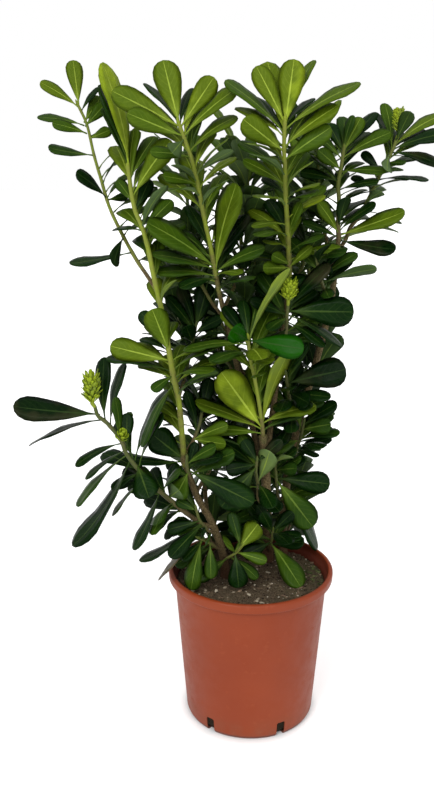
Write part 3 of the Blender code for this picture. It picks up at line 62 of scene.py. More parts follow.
# The eye of the photograph: in front of the pot, above its rim, looking down and a little to the left
EYE = Vector((0.0, -1.326, 0.894))
EYE_DOWN = math.radians(17.2)
EYE_LEFT = math.radians(2.12)
VIEW_SIZE = (434.0, 800.0)
VIEW_MIDDLE = (217.0, 400.0)
VIEW_FOCAL = 1000.0
SENSOR = 36.0

# The pot and the soil
POT_HEIGHT = 230 * MM
RIM_RADIUS = 120 * MM
RIM_SKIRT = 14 * MM
SKIRT_FOOT = POT_HEIGHT - RIM_SKIRT
MOUTH_RADIUS = 112.5 * MM
SHOULDER_RADIUS = 110.3 * MM
BASE_RADIUS = 94.3 * MM
WALL = 2 * MM
FLOOR = 3 * MM
POT_STEPS = 128
SLOT_WIDTH = 13 * MM
SLOT_HEIGHT = 24 * MM
SLOT_REACH = 24 * MM
SLOT_BELOW = 5 * MM
SLOT_AZIMUTHS = (-97, -36, 29, 91, 151, -157)
SLOT_EDGE = 1.2 * MM
SHARP_FROM = math.radians(50)
SOIL_TOP = 212 * MM
SOIL_DIP = 3 * MM
SOIL_FOOT = 8 * MM
SOIL_RINGS = 60
SOIL_STEPS = 160
CRUMB_HEIGHT = 1.3 * MM
HOLE_DEPTH = 45 * MM

# The plan's stems, as the solids have them
STEM_STEP = 58 * MM
KNOT_STEPS = 24
PLACE_STEPS = 200
LEAD = 6 * MM
LEAST_FORK = math.radians(40)
LONGEST_STUB = 26 * MM
BARK_GAP = 0.8 * MM
LEAF_MARGIN = 3.5 * MM

# The plan's leaves. A leaf that its place doesn't suit is tried smaller, deeper, rolled, tilted or swung
RIB = 1.6 * MM
PETIOLE = 2.4 * MM
OUTLINE_POWER = 0.9
OUTLINE_PEAK = 0.589
WIDE_ROWS = (0.30, 0.66, 0.91)
WIDE_FROM = 24 * MM
RULE_ROWS = (0.42, 0.84)
BLADE_STARTS = 0.10
SLENDER = 0.34
RULE_SLENDER = SLENDER * 1.08
RULE_ARCH = 0.05
OPEN_ARCH = 0.09
DRAWN_LENGTH = 7.6 * CM
CLEARANCE = 0.4 * MM
GOLDEN_ANGLE = math.radians(137.508)
SEED = 24
SPRAY_TURNS = (-0.2, 0.2)
SPRAY_SWAYS = (-6, 6)
SPRAY_SIZES = (0.84, 1.1)
SPRAY_AGES = (-0.12, 0.12)
DRAWN_SCALES = (1.0, 0.86, 0.72)
DRAWN_PUSHES = (0, 0.7, -0.7, 1.4, -1.4, 2.2, -2.2, 3.2, -3.2)
DRAWN_ROLLS = (0.0, 0.24, -0.24)
RULE_SCALES = (1.0, 0.84, 0.7)
RULE_TILTS = (0.0, -0.2, 0.2)
RULE_SWINGS = (0.0, 0.25, -0.25, 0.55, -0.55, 0.9, -0.9)
SAME_POINT = 0.05 * MM

# The fine stems and leaves
FINE_STEP = 5 * MM
STEM_SIDES = 8
BLADE_SEGMENTS = 8
DRAWN_RINGS = 12
RULE_RINGS = 8
BLADE_THICKNESS = 0.9 * MM
TIP_POWERS = (2.9, 4.3)
STALK_THINS = (0.03, 0.2)
TWIST_FROM = 0.4
MARGIN_WAVES = 2.2
WAVE_SKEW = 0.2
MORE_ARCH = 0.05
SEED_STEP = 10
BUD_SEED = 1000
BARK_GRAIN = 260.0
WOOD_RELIEF = 0.25
SHOOT_RELIEF = 0.08
WOOD_AGE = 0.9
SCAR_REACH = 3.5 * MM
SCAR_SWELL = 0.14
ROOT_FLARE = 0.35
FLARE_REACH = 9 * MM
# The closed end of a shoot: distances beyond its last point in mm, and shares of its radius there
SHOOT_TIP = ((2.5, 1.1), (5.0, 0.8), (7.0, 0.4), (8.0, 0.08))
STUB_SHARES = (1.35, 1.25, 1.08, 1.0)
STUB_KNOTS = (0.1, 0.2, 0.6, 0.5)
# How woody a stem is at its root and tip. A shoot is more so with age, and green well before its tip
TRUNK_WOODY = (1.15, 0.62)
SHOOT_WOODY = (0.55, 0.1)
WOODY_WITH_AGE = 0.4
WOODY_PACE = 1.6
# The ages of a dried and of a vivid green leaf, beyond those of the plain greens
DRIED = 1.34
VIVID = 1.6

# The leaves in the gaps: where along a shoot, their angle from it in degrees, their length in cm and age
GAP_SEED = 7
GAP_STEP = 9 * MM
GAP_SPAN = (0.08, 0.93)
GAP_TURNS = (-0.6, 0.6)
GAP_OPENS = (80, 46)
GAP_SWAYS = (-8, 8)
GAP_LENGTHS = (5.0, 8.0)
GAP_AGE = 0.55
GAP_LIKE_SHOOT = 0.6
GAP_AGES = (-0.16, 0.20)
# Where along a gap's leaf it is looked for what it would hide, and the bare stems that stay in sight
VIEW_ROWS = (0.35, 0.55, 0.75, 0.95)
BARE_STEMS = ("left_trunk", "left_tall_shoot", "inner_left_shoot", "tall_right_shoot", "young_middle_shoot",
              "low_left_shoot")

# The scales of a bud head, ring by ring: a share of the length, a count, a turn, a span and its opening
BUD_RINGS = ((1.0, 26, 0.0, (0.16, 0.98), (58, 22)), (0.92, 46, 0.5, (0.02, 0.97), (46, 30)),
             (0.74, 56, 1.1, (0.00, 0.98), (50, 36)))
BUD_CORE = 0.62
CORE_SHARES = (1.0, 1.15, 1.1, 0.45)
SCALE_LENGTHS = (0.50, 0.72)
SCALE_WIDTH = 5.8 * MM
SCALE_ARCH = -0.14
SCALE_AGE = 0.10
# A side bud: the stem that carries it, the pixel that shows it, how it leans, and its young leaves
SIDE_BUD_STEM = "low_left_shoot"
SIDE_BUD_PIXEL = (121, 442)
SIDE_BUD_HEADING = Vector((0.15, -0.45, 0.88)).normalized()
SIDE_BUD_COUNT = 16
SIDE_BUD_OPENS = (44, 6)
SIDE_BUD_HEIGHT = 6 * MM
SIDE_BUD_LENGTHS = (14 * MM, 18 * MM)
SIDE_BUD_WIDTH = 6.5 * MM
SIDE_BUD_ARCH = -0.1
SIDE_BUD_AGE = 0.02

# How the floor's painted glow and the room shine: on what stands there, and towards the camera
FLOOR_GLOW = (0.22, 0.30)
ROOM_GLOW = (0.56, 1.0)
# Where the floor's painted glow fades out, from the foot of the pot, so that a contact shadow shows there
FOOT_SHADE = (-6 * MM, 14 * MM)


def seen(px, py, depth):
    """The point that the photograph shows at a pixel, at a depth in cm behind the pot's axis."""
    right = (px - VIEW_MIDDLE[0]) / VIEW_FOCAL
    up = (VIEW_MIDDLE[1] - py) / VIEW_FOCAL
    ahead = math.cos(EYE_DOWN) + math.sin(EYE_DOWN) * up
    rise = -math.sin(EYE_DOWN) + math.cos(EYE_DOWN) * up
    ray = Vector((math.cos(EYE_LEFT) * right - math.sin(EYE_LEFT) * ahead,
                  math.sin(EYE_LEFT) * right + math.cos(EYE_LEFT) * ahead, rise))
    return EYE + ray * ((depth * CM - EYE.y) / ray.y)


def shown(point):
    """The pixel of the photograph at which a point is seen."""
    away = point - EYE
    across = math.cos(EYE_LEFT) * away.x + math.sin(EYE_LEFT) * away.y
    ahead = -math.sin(EYE_LEFT) * away.x + math.cos(EYE_LEFT) * away.y
    deep = ahead * math.cos(EYE_DOWN) - away.z * math.sin(EYE_DOWN)
    up = ahead * math.sin(EYE_DOWN) + away.z * math.cos(EYE_DOWN)
    return (VIEW_MIDDLE[0] + VIEW_FOCAL * across / deep, VIEW_MIDDLE[1] - VIEW_FOCAL * up / deep)


def shoot(carrier, at, thick, age, path, sprays, leaves=()):
    """A leafy shoot: the stem that carries it and the pixel of the fork, or None at that stem's end.

    thick is its thickness in mm at its root and tip, and path its pixels with their depths in cm. age goes
    from 0, the spring's growth, to 1, the old dark leaves.
    """
    return dict(carrier=carrier, at=at, thick=thick, age=age, path=path, sprays=sprays, leaves=leaves)


def leaf(tip, root, wide, back, age, face="upper", arch=0.07, sag=0.0):
    """A leaf read from the photograph: the pixels of its tip and root, its width in pixels and its age.

    back is how far the tip lies behind the root in cm. Where it is None, the tip goes back or comes forward
    until the leaf has its usual length. face is the side of the blade that the photograph shows. sag is how
    much less than the solid's the fine blade's arch is, as a share of the length.
    """
    return dict(tip=tip, root=root, wide=wide, back=back, age=age, face=face, arch=arch, sag=sag)


def spray(count, start, end, long, opens, turn, age):
    """Leaves set round a stem by the golden angle, from one fraction of its length to another.

    long is their length in cm. opens is the angle between leaf and stem in degrees, at the first leaf and
    at the last one. turn is the first one's angle round the stem in radians.
    """
    return dict(count=count, start=start, end=end, long=long, opens=opens, turn=turn, age=age)


# The woody stems: their path, from the soil or from the stem that carries them, and their thickness in mm
WOOD = {
    "left_trunk": dict(
        carrier=None, foot=(-3.7, 0.0), thick=(13.5, 9.0),
        path=[(222, 551, -0.8), (217, 535, -1.5), (210, 519, -2), (197, 496, -3), (186, 467, -3.5)]),
    "centre_trunk": dict(
        carrier=None, foot=(2.6, 5.6), thick=(17, 12),
        path=[(267, 520, 3.5), (266, 480, 1), (264, 448, -1), (263, 436, -1.5)]),
    "right_trunk": dict(
        carrier=None, foot=(4.9, 6.8), thick=(14, 8),
        path=[(283, 520, 8), (290, 460, 6.5), (305, 400, 4.5), (322, 340, 2.5), (331, 300, 1.5),
              (336, 262, 1), (338, 244, 1)]),
    "heart_branch": dict(
        carrier="centre_trunk", at=(266, 478), thick=(9, 6.5),
        path=[(252, 425, 1.4), (238, 370, -0.6), (227, 325, -2.8), (221, 300, -3.8)]),
    "rear_branch": dict(
        carrier="centre_trunk", at=(266, 500), thick=(11, 7.5),
        path=[(262, 455, 6), (256, 400, 8), (250, 350, 9.5), (245, 318, 10.5)]),
    "middle_branch": dict(
        carrier="centre_trunk", at=(265, 462), thick=(9, 6.5),
        path=[(272, 415, 1.5), (280, 360, 1), (286, 310, -1), (289, 282, -2)]),
}

# The leafy shoots: the path of each, the sprays that fill it, and its leaves read from the front view
SHOOTS = {
    "left_tall_shoot": shoot("left_trunk", None, (8.5, 5.0), 0.12,
        [(183, 447, -4.4), (179, 403, -6), (173, 374, -7), (168, 345, -7.6), (162, 312, -8), (153, 273, -8),
         (148, 248, -7.6), (142, 227, -7), (135, 210, -6.4), (131, 190, -5.8), (128, 166, -5)],
        [spray(5, 0.9, 0.985, 8.0, (50, 24), 0.4, 0.15), spray(5, 0.6, 0.84, 6.5, (66, 50), 1.0, 0.6),
         spray(4, 0.27, 0.36, 7.0, (66, 50), 2.2, 0.5)],
        [leaf((152, 309), (170, 352), 24, -2.5, 0.32), leaf((110, 346), (168, 361), 22, None, 0.25),
         leaf((106, 358), (167, 373), 8, None, 0.8), leaf((140, 312), (166, 340), 14, 2, 0.9),
         leaf((141, 338), (167, 352), 7, 3, 0.8), leaf((152, 391), (172, 376), 10, -3, 0.7),
         leaf((141, 447), (174, 383), 12, -2, 0.75), leaf((152, 434), (184, 459), 27, -2, 0.95),
         leaf((122, 456), (185, 462), 11, -4, 0.8, arch=-0.12), leaf((103, 62), (127, 168), 20, 1, 0.05),
         leaf((101, 75), (128, 172), 12, 5.5, 0.5), leaf((134, 128), (131, 186), 14, 3, 0.3),
         leaf((171, 140), (133, 196), 20, -1, 0.28), leaf((150, 179), (136, 211), 14, 3, 0.95),
         leaf((117, 180), (130, 205), 12, 3, 0.6), leaf((155, 136), (130, 180), 14, 4, 0.4),
         leaf((114, 229), (142, 231), 6, 3, 0.9), leaf((172, 200), (143, 232), 14, 2, 0.5),
         leaf((185, 222), (146, 243), 14, 5, 0.6)]),
    "far_left_shoot": shoot("left_tall_shoot", (156, 292), (5.2, 3.4), 0.4,
        [(146, 274, -6.4), (136, 259, -5), (121, 232, -3), (109, 206, -1.4), (101, 179, 0), (94, 155, 0.8),
         (87, 125, 1.6), (78, 105, 2)],
        [spray(2, 0.86, 0.96, 5.5, (48, 30), 2.0, 0.5), spray(2, 0.55, 0.72, 5.5, (60, 50), 0.3, 0.8)],
        [leaf((40, 82), (79, 107), 11, -1.5, 0.2), leaf((73, 60), (78, 105), 15, 1.5, 0.2),
         leaf((99, 87), (82, 112), 6, 1, 0.9), leaf((101, 97), (85, 122), 14, 2, 0.45),
         leaf((37, 117), (87, 125), 8, -1, 0.6), leaf((52, 123), (88, 134), 9, -2, 0.55),
         leaf((112, 131), (89, 136), 9, 2, 0.8), leaf((48, 147), (93, 156), 9, -1.5, 0.7, sag=0.16),
         leaf((76, 172), (114, 196), 11, -3, 0.9), leaf((128, 196), (105, 200), 9, 2.5, 0.8),
         leaf((69, 263), (130, 254), 8, -2, 0.8, sag=0.14),
         leaf((113, 265), (126, 236), 11, -3.5, 0.9, face="under")]),
    "low_left_shoot": shoot("left_trunk", (208, 529), (7.0, 5.0), 0.95,
        [(193, 518, -3.6), (175, 504, -5.4), (154, 486, -7), (138, 469, -8), (126, 453, -8.5),
         (121, 440, -8.7), (107, 423, -8.8), (98, 416, -9), (95, 407, -9)],
        [spray(2, 0.86, 0.96, 5.0, (60, 45), 1.0, 0.95), spray(4, 0.2, 0.52, 5.5, (66, 55), 0.6, 0.95)],
        [leaf((13, 406), (99, 416), 24, -2, 0.95, sag=0.14), leaf((30, 444), (104, 420), 7, 2.5, 0.95),
         leaf((104, 357), (106, 420), 17, 2.5, 0.95), leaf((124, 363), (112, 426), 10, 4.5, 0.9),
         leaf((115, 397), (121, 437), 11, -0.8, 0.7), leaf((127, 413), (125, 450), 14, 1.5, 0.95),
         leaf((167, 389), (133, 462), 11, 1.5, 0.85), leaf((163, 413), (138, 468), 7, -1, 0.8),
         leaf((75, 466), (122, 444), 9, -1.5, 0.9, arch=0.12), leaf((85, 479), (124, 452), 6, -1, 0.8),
         leaf((76, 506), (127, 455), 7, -2.5, 0.75),
         leaf((72, 546), (130, 458), 13, -4, 0.85, arch=0.1, sag=0.24),
         leaf((111, 489), (141, 473), 9, -1, 0.8), leaf((112, 516), (146, 478), 4, -2, 0.7),
         leaf((149, 498), (136, 466), 26, -3.6, 0.9), leaf((133, 550), (160, 491), 10, -3, 0.9, sag=0.16),
         leaf((179, 490), (168, 498), 20, -3.4, 0.5, face="under")]),
    "inner_left_shoot": shoot("heart_branch", None, (6.2, 4.4), 0.12,
        [(216, 276, -4.4), (210, 244, -5.4), (204, 217, -6.2), (198, 185, -7), (191, 157, -7.6),
         (179, 124, -8)],
        [spray(5, 0.9, 0.985, 7.5, (56, 24), 0.9, 0.2), spray(4, 0.45, 0.8, 6.0, (62, 48), 2.4, 0.55),
         spray(3, 0.06, 0.22, 7.5, (72, 48), 1.7, 0.7)],
        [leaf((112, 91), (181, 121), 24, -1, 0.15), leaf((127, 113), (183, 136), 21, -2, 0.38),
         leaf((163, 60), (180, 118), 26, 1.5, 0.24), leaf((145, 83), (181, 122), 8, 3, 0.85),
         leaf((214, 77), (182, 127), 20, 1.5, 0.15), leaf((236, 88), (185, 137), 18, 0.5, 0.32),
         leaf((191, 88), (183, 124), 10, 3.5, 0.85),
         leaf((172, 153), (186, 138), 17, -5, 0.55, face="under"),
         leaf((237, 116), (192, 152), 12, 1.5, 0.3, arch=0.14),
         leaf((233, 150), (196, 175), 9, -1.5, 0.4, face="under"),
         leaf((150, 152), (190, 158), 12, -3, 0.45), leaf((163, 176), (197, 185), 11, -3, 0.5),
         leaf((236, 183), (217, 274), 21, -1.5, 0.18), leaf((147, 222), (215, 268), 16, -3, 0.5),
         leaf((152, 254), (214, 270), 12, -3, 0.55), leaf((155, 272), (215, 277), 11, -2, 0.6, arch=0.1),
         leaf((180, 288), (216, 280), 10, -5, 0.8, arch=0.12),
         leaf((265, 247), (218, 272), 13, -1.5, 0.5, arch=0.1), leaf((188, 205), (212, 256), 14, 3, 0.9),
         leaf((248, 214), (220, 266), 13, 2, 0.95)]),
    "tall_right_shoot": shoot("middle_branch", None, (7.0, 4.4), 0.08,
        [(289, 262, -2.8), (288, 235, -4.2), (286, 200, -5.8), (285, 170, -7.2), (284, 146, -8.2),
         (285, 120, -9)],
        [spray(5, 0.9, 0.985, 8.0, (50, 24), 0.2, 0.15), spray(5, 0.5, 0.85, 7.0, (64, 46), 1.4, 0.6),
         spray(4, 0.1, 0.36, 6.5, (70, 60), 0.6, 0.72)],
        [leaf((294, 59), (285, 128), 26, 1, 0.12), leaf((256, 66), (284, 124), 20, 0.5, 0.05),
         leaf((313, 60), (286, 122), 12, 4, 0.3), leaf((360, 82), (286, 130), 12, 1.5, 0.25),
         leaf((338, 105), (285, 147), 15, -0.5, 0.2), leaf((313, 98), (286, 126), 10, 3.5, 0.75),
         leaf((225, 80), (284, 134), 11, 2, 0.55), leaf((243, 119), (284, 152), 22, -1.5, 0.3),
         leaf((251, 95), (284, 136), 12, 4, 0.8), leaf((331, 127), (285, 160), 22, -2, 0.42),
         leaf((305, 142), (285, 176), 12, 1.5, 0.5), leaf((243, 160), (285, 186), 12, -1, 0.4),
         leaf((262, 178), (286, 196), 7, 2, 0.8), leaf((301, 202), (287, 238), 12, -2, 0.35),
         leaf((268, 199), (287, 236), 14, 4, 0.95), leaf((312, 246), (290, 268), 11, -2, 0.3),
         leaf((272, 255), (289, 264), 13, -3, 0.4), leaf((263, 268), (289, 268), 14, -4, 0.4)]),
    "right_shoot": shoot("right_trunk", None, (6.4, 4.2), 0.6,
        [(338, 225, 1.2), (339, 200, 1.6), (338, 185, 1.8), (341, 168, 2), (344, 148, 2.2)],
        [spray(5, 0.88, 0.985, 6.5, (60, 26), 0.5, 0.7), spray(4, 0.4, 0.75, 6.0, (66, 50), 2.6, 0.85),
         spray(2, 0.05, 0.15, 7.0, (72, 60), 1.1, 0.85)],
        [leaf((353, 115), (344, 150), 9, 0.5, 0.7), leaf((329, 124), (343, 152), 12, 2, 0.9),
         leaf((361, 117), (344, 152), 16, 1.5, 0.45), leaf((376, 112), (344, 155), 9, 3, 0.9),
         leaf((391, 132), (343, 158), 13, 0.5, 0.5), leaf((386, 171), (341, 172), 9, -1.5, 0.55),
         leaf((379, 181), (339, 190), 8, -1.5, 0.8), leaf((309, 128), (342, 160), 12, 1, 0.7),
         leaf((300, 172), (340, 182), 10, 1, 0.9), leaf((318, 150), (341, 170), 14, -2, 0.5),
         leaf((376, 203), (339, 232), 9, -1.5, 0.8), leaf((405, 211), (339, 236), 17, -1, 0.25, sag=0.12),
         leaf((396, 249), (339, 240), 14, -2, 0.95, sag=0.16), leaf((318, 202), (338, 234), 13, -2.5, 0.3),
         leaf((302, 222), (338, 238), 9, -2, 0.85),
         leaf((346, 197), (339, 228), 12, -3, 0.9, face="under")]),
    "far_right_shoot": shoot("right_trunk", (337, 252), (5.6, 4.2), 0.6,
        [(350, 228, 2), (360, 215, 2.4), (368, 200, 2.8), (375, 185, 3), (387, 161, 3), (393, 149, 3),
         (397, 138, 3)],
        [spray(3, 0.84, 0.96, 5.5, (62, 44), 2.1, 0.8)],
        [leaf((385, 103), (392, 150), 12, 3, 0.55), leaf((371, 96), (390, 154), 7, 1.5, 0.9),
         leaf((446, 112), (394, 147), 13, 3, 0.3), leaf((424, 129), (393, 150), 8, 3, 0.9),
         leaf((449, 132), (392, 151), 13, -1, 0.9), leaf((443, 166), (391, 153), 11, -2, 0.95, arch=0.12),
         leaf((387, 171), (390, 154), 12, -5, 0.5, face="under"),
         leaf((406, 163), (386, 164), 6, -2.5, 0.8), leaf((429, 180), (377, 180), 5, -1, 0.85),
         leaf((362, 152), (382, 172), 9, 1, 0.9), leaf((352, 176), (373, 190), 8, 2.5, 0.9)]),
    "young_middle_shoot": shoot("centre_trunk", None, (5.6, 4.2), 0.18,
        [(262, 424, -2.2), (259, 403, -4), (254, 375, -6), (250, 358, -7), (248, 338, -8)],
        [spray(4, 0.86, 0.98, 7.0, (66, 34), 0.2, 0.7), spray(3, 0.05, 0.22, 7.0, (72, 56), 2.4, 0.85)],
        [leaf((221, 372), (262, 428), 34, -1.5, 0.15), leaf((195, 401), (262, 430), 14, -1, 0.2, arch=0.03),
         leaf((289, 349), (262, 428), 15, -0.5, 0.12, face="under"),
         leaf((304, 349), (249, 338), 24, -3, VIVID), leaf((231, 330), (249, 337), 20, -4.5, VIVID),
         leaf((290, 268), (249, 342), 15, 0.5, 0.12, face="under"),
         leaf((183, 350), (250, 345), 11, -0.5, 0.5, arch=0.12), leaf((206, 430), (261, 434), 14, -1, 0.5),
         leaf((243, 300), (249, 340), 14, 3, 0.8), leaf((224, 306), (249, 344), 12, 2, 0.9)]),
    "middle_bud_shoot": shoot("middle_branch", (281, 352), (5.0, 4.4), 0.95,
        [(286, 332, -3.2), (287, 316, -4.6), (288, 305, -5)],
        [spray(4, 0.55, 0.9, 7.0, (78, 60), 1.3, 0.95)],
        [leaf((354, 312), (288, 311), 29, -1, 0.95), leaf((343, 347), (288, 315), 9, -1, 0.9),
         leaf((325, 347), (287, 322), 13, -3, 0.95), leaf((250, 300), (287, 316), 13, -2, 0.9),
         leaf((268, 330), (287, 318), 12, -4.5, 0.8), leaf((330, 264), (288, 310), 15, 1.5, 0.95),
         leaf((316, 290), (288, 312), 12, 3, 0.8)]),
    "dark_left_shoot": shoot("left_tall_shoot", (178, 400), (5.0, 3.6), 0.95,
        [(186, 372, -2.4), (191, 350, -1.8), (196, 326, -1.6)],
        [spray(5, 0.55, 0.95, 6.5, (70, 34), 0.6, 0.95)],
        [leaf((180, 286), (195, 330), 14, 1, 0.95), leaf((208, 283), (196, 328), 22, 1, 0.95),
         leaf((166, 296), (194, 332), 14, -1.5, 0.9), leaf((222, 318), (195, 334), 13, -3, 0.95),
         leaf((186, 326), (193, 342), 16, -5, 0.9)]),
    "right_middle_shoot": shoot("right_trunk", (296, 436), (5.4, 3.8), 0.95,
        [(291, 408, 1.5), (288, 390, -0.5), (286, 374, -1.6)],
        [spray(5, 0.45, 0.95, 6.5, (74, 36), 0.2, 0.95)],
        [leaf((346, 369), (287, 383), 29, -1, 0.95), leaf((331, 397), (289, 395), 13, -2, 0.9),
         leaf((309, 403), (290, 392), 18, -4.5, 0.9)]),
    "right_low_shoot": shoot("right_trunk", (288, 478), (5.0, 3.6), 0.95,
        [(296, 452, 4.5), (301, 436, 3), (304, 422, 2)],
        [spray(4, 0.5, 0.95, 6.0, (74, 40), 1.2, 0.95)],
        [leaf((337, 403), (303, 426), 12, -1, 0.95), leaf((331, 424), (302, 430), 18, -2, 0.6),
         leaf((340, 433), (300, 440), 8, -2, 0.8, arch=0.1), leaf((318, 457), (298, 450), 6, -3.5, 0.9)]),
    "right_hanging_shoot": shoot("right_trunk", (284, 512), (5.0, 3.8), 0.9,
        [(277, 488, 4), (276, 474, 2), (275, 462, 1)],
        [spray(3, 0.4, 0.95, 6.0, (76, 48), 0.8, 0.95)],
        [leaf((330, 484), (277, 478), 21, -1.5, 0.95), leaf((313, 527), (277, 480), 28, -1.5, 0.7),
         leaf((318, 548), (278, 490), 13, 1, 0.9),
         leaf((290, 456), (275, 462), 8, -4.5, 0.35, face="under"),
         leaf((297, 468), (276, 470), 14, -3.5, 0.8)]),
    "left_middle_shoot": shoot("left_tall_shoot", (184, 456), (5.0, 3.8), 0.9,
        [(194, 440, -3.4), (199, 426, -2.2), (202, 412, -1.4)],
        [spray(4, 0.55, 0.95, 6.0, (74, 40), 0.3, 0.95)],
        [leaf((228, 425), (197, 442), 13, -1.5, 0.4), leaf((226, 444), (196, 440), 15, -3.4, 0.45),
         leaf((186, 391), (198, 432), 12, 0, 0.95), leaf((210, 378), (202, 416), 16, 2, 0.95)]),
    "left_knot_shoot": shoot("left_trunk", (193, 486), (5.0, 4.0), 0.9,
        [(189, 475, -5.4), (187, 466, -6.6), (187, 458, -7.4)],
        [spray(3, 0.4, 0.95, 6.0, (76, 50), 1.8, 0.9)],
        [leaf((170, 508), (188, 472), 20, -2, 0.6), leaf((254, 503), (190, 470), 26, -0.5, 0.85),
         leaf((216, 446), (189, 464), 12, -2, 0.6)]),
    "centre_low_shoot": shoot("centre_trunk", (267, 505), (5.0, 3.8), 0.9,
        [(258, 486, 0), (256, 472, -1.6), (257, 460, -2.4)],
        [spray(4, 0.45, 0.95, 6.5, (76, 42), 2.1, 0.95)],
        [leaf((270, 451), (258, 483), 20, -3.5, 0.35, face="under"),
         leaf((221, 507), (257, 466), 28, -2.5, 0.85), leaf((226, 470), (257, 464), 15, -2, 0.9),
         leaf((282, 440), (257, 461), 13, -2, 0.95), leaf((243, 440), (257, 461), 14, -2, 0.95)]),
    "left_foot_shoot": shoot("left_trunk", (216, 534), (4.6, 3.4), 0.85,
        [(205, 527, -4), (199, 519, -5.2), (196, 508, -6)],
        [spray(3, 0.4, 0.95, 5.5, (74, 44), 0.5, 0.9)],
        [leaf((167, 530), (200, 521), 13, -2, 0.85, arch=-0.08),
         leaf((139, 561), (201, 524), 8, -3, 0.85, arch=-0.1), leaf((170, 558), (202, 525), 14, -3, 0.85),
         leaf((176, 500), (197, 511), 12, -3, 0.7)]),
    "left_drooping_shoot": shoot("left_trunk", (221, 550), (4.4, 3.4), 0.7,
        [(213, 545, -3.2), (206, 541, -4.6), (199, 538, -5.4)],
        [spray(2, 0.5, 0.9, 5.0, (70, 50), 1.2, 0.9)],
        [leaf((191, 590), (201, 541), 17, -1.2, 0.6, arch=0.1), leaf((211, 579), (209, 545), 15, -2, 0.65),
         leaf((158, 580), (202, 541), 6, -1.5, DRIED), leaf((183, 560), (203, 542), 9, -2.5, 0.9)]),
    "foot_sprig": shoot("left_trunk", (224, 560), (4.4, 3.4), 0.4,
        [(231, 556, -3), (237, 552, -4), (242, 546, -4.6)],
        [spray(2, 0.7, 0.95, 5.5, (70, 40), 2.2, 0.8)],
        [leaf((258, 524), (239, 550), 19, 2, 0.2), leaf((231, 512), (241, 547), 13, 1.5, 0.85),
         leaf((267, 561), (237, 553), 12, -1.5, 0.5), leaf((239, 588), (236, 554), 19, -1.8, 0.85)]),
    "centre_foot_shoot": shoot("centre_trunk", (268, 550), (4.4, 3.4), 0.8,
        [(270, 544, 2.6), (272, 538, 1), (273, 530, 0)],
        [spray(3, 0.5, 0.95, 5.5, (74, 44), 0.9, 0.95)],
        [leaf((301, 587), (271, 543), 23, -2.4, 0.6), leaf((243, 556), (271, 542), 15, -2, 0.9),
         leaf((262, 512), (273, 532), 13, -2.6, 0.9), leaf((293, 512), (273, 531), 13, 0, 0.95)]),
    "rear_middle_shoot": shoot("rear_branch", None, (6.0, 4.0), 0.5,
        [(243, 285, 11), (241, 240, 11.4), (240, 195, 11.6), (240, 160, 11.6)],
        [spray(6, 0.82, 0.985, 8.0, (60, 26), 0.4, 0.36), spray(7, 0.15, 0.72, 7.5, (72, 56), 1.2, 0.6)]),
    "rear_left_shoot": shoot("rear_branch", (254, 388), (6.0, 4.0), 0.6,
        [(234, 352, 11), (214, 305, 13), (198, 255, 14), (188, 205, 14.4), (184, 170, 14.6)],
        [spray(6, 0.84, 0.985, 7.5, (60, 26), 0.9, 0.45), spray(8, 0.22, 0.76, 7.5, (74, 56), 0.1, 0.7)]),
    "rear_right_shoot": shoot("right_trunk", (318, 352), (6.0, 4.0), 0.55,
        [(314, 310, 8), (308, 265, 11), (306, 220, 12.4), (308, 175, 13)],
        [spray(6, 0.84, 0.985, 7.5, (60, 26), 1.9, 0.42), spray(7, 0.22, 0.76, 7.5, (74, 56), 2.1, 0.62)]),
    "deep_left_shoot": shoot("left_trunk", (208, 516), (6.0, 4.0), 0.9,
        [(204, 480, 3), (198, 430, 8), (190, 380, 11.5), (180, 325, 13), (172, 270, 13.6)],
        [spray(6, 0.82, 0.985, 7.5, (64, 28), 2.5, 0.65), spray(8, 0.25, 0.74, 7.5, (74, 58), 0.7, 0.95)]),
    "deep_middle_shoot": shoot("rear_branch", (262, 448), (6.0, 4.0), 0.9,
        [(262, 412, 12), (264, 365, 17), (268, 310, 20), (272, 250, 21), (274, 200, 21.4)],
        [spray(6, 0.82, 0.985, 7.5, (62, 28), 1.5, 0.48), spray(9, 0.18, 0.74, 7.5, (74, 58), 1.1, 0.8)]),
    "deep_right_shoot": shoot("right_trunk", (286, 492), (6.0, 4.0), 0.9,
        [(292, 452, 11), (300, 405, 15), (308, 355, 17), (312, 305, 18), (314, 262, 18.4)],
        [spray(6, 0.8, 0.985, 7.5, (64, 28), 0.3, 0.8), spray(8, 0.2, 0.72, 7.0, (74, 58), 1.9, 0.95)]),
    "low_rear_shoot": shoot("centre_trunk", (268, 536), (5.2, 3.8), 0.9,
        [(262, 512, 11), (252, 480, 15), (240, 440, 18), (230, 395, 19.4)],
        [spray(6, 0.7, 0.985, 7.0, (66, 30), 0.9, 0.85), spray(5, 0.2, 0.6, 6.5, (74, 60), 1.7, 0.95)]),
    "inner_dark_shoot": shoot("heart_branch", (242, 388), (5.0, 3.6), 0.95,
        [(230, 366, 0.5), (220, 352, 2), (214, 338, 3)],
        [spray(8, 0.3, 0.97, 6.5, (76, 34), 0.2, 0.95)]),
    "inner_right_shoot": shoot("middle_branch", (287, 304), (5.0, 3.6), 0.7,
        [(298, 278, 0.5), (306, 256, 2), (311, 235, 3)],
        [spray(8, 0.3, 0.97, 6.5, (74, 32), 1.0, 0.66)]),
    "inner_top_shoot": shoot("heart_branch", (223, 310), (5.0, 3.6), 0.5,
        [(236, 282, 0.5), (244, 250, 2.4), (248, 215, 3.6), (248, 180, 4)],
        [spray(6, 0.72, 0.985, 7.5, (62, 26), 1.7, 0.5), spray(5, 0.2, 0.62, 6.5, (72, 56), 0.9, 0.65)],
        [leaf((244, 268), (245, 240), 14, -4, 0.95, face="under")]),
    "right_inner_shoot": shoot("right_trunk", (334, 276), (5.4, 3.8), 0.5,
        [(326, 240, 3.6), (320, 205, 5), (318, 170, 6), (317, 142, 6.4)],
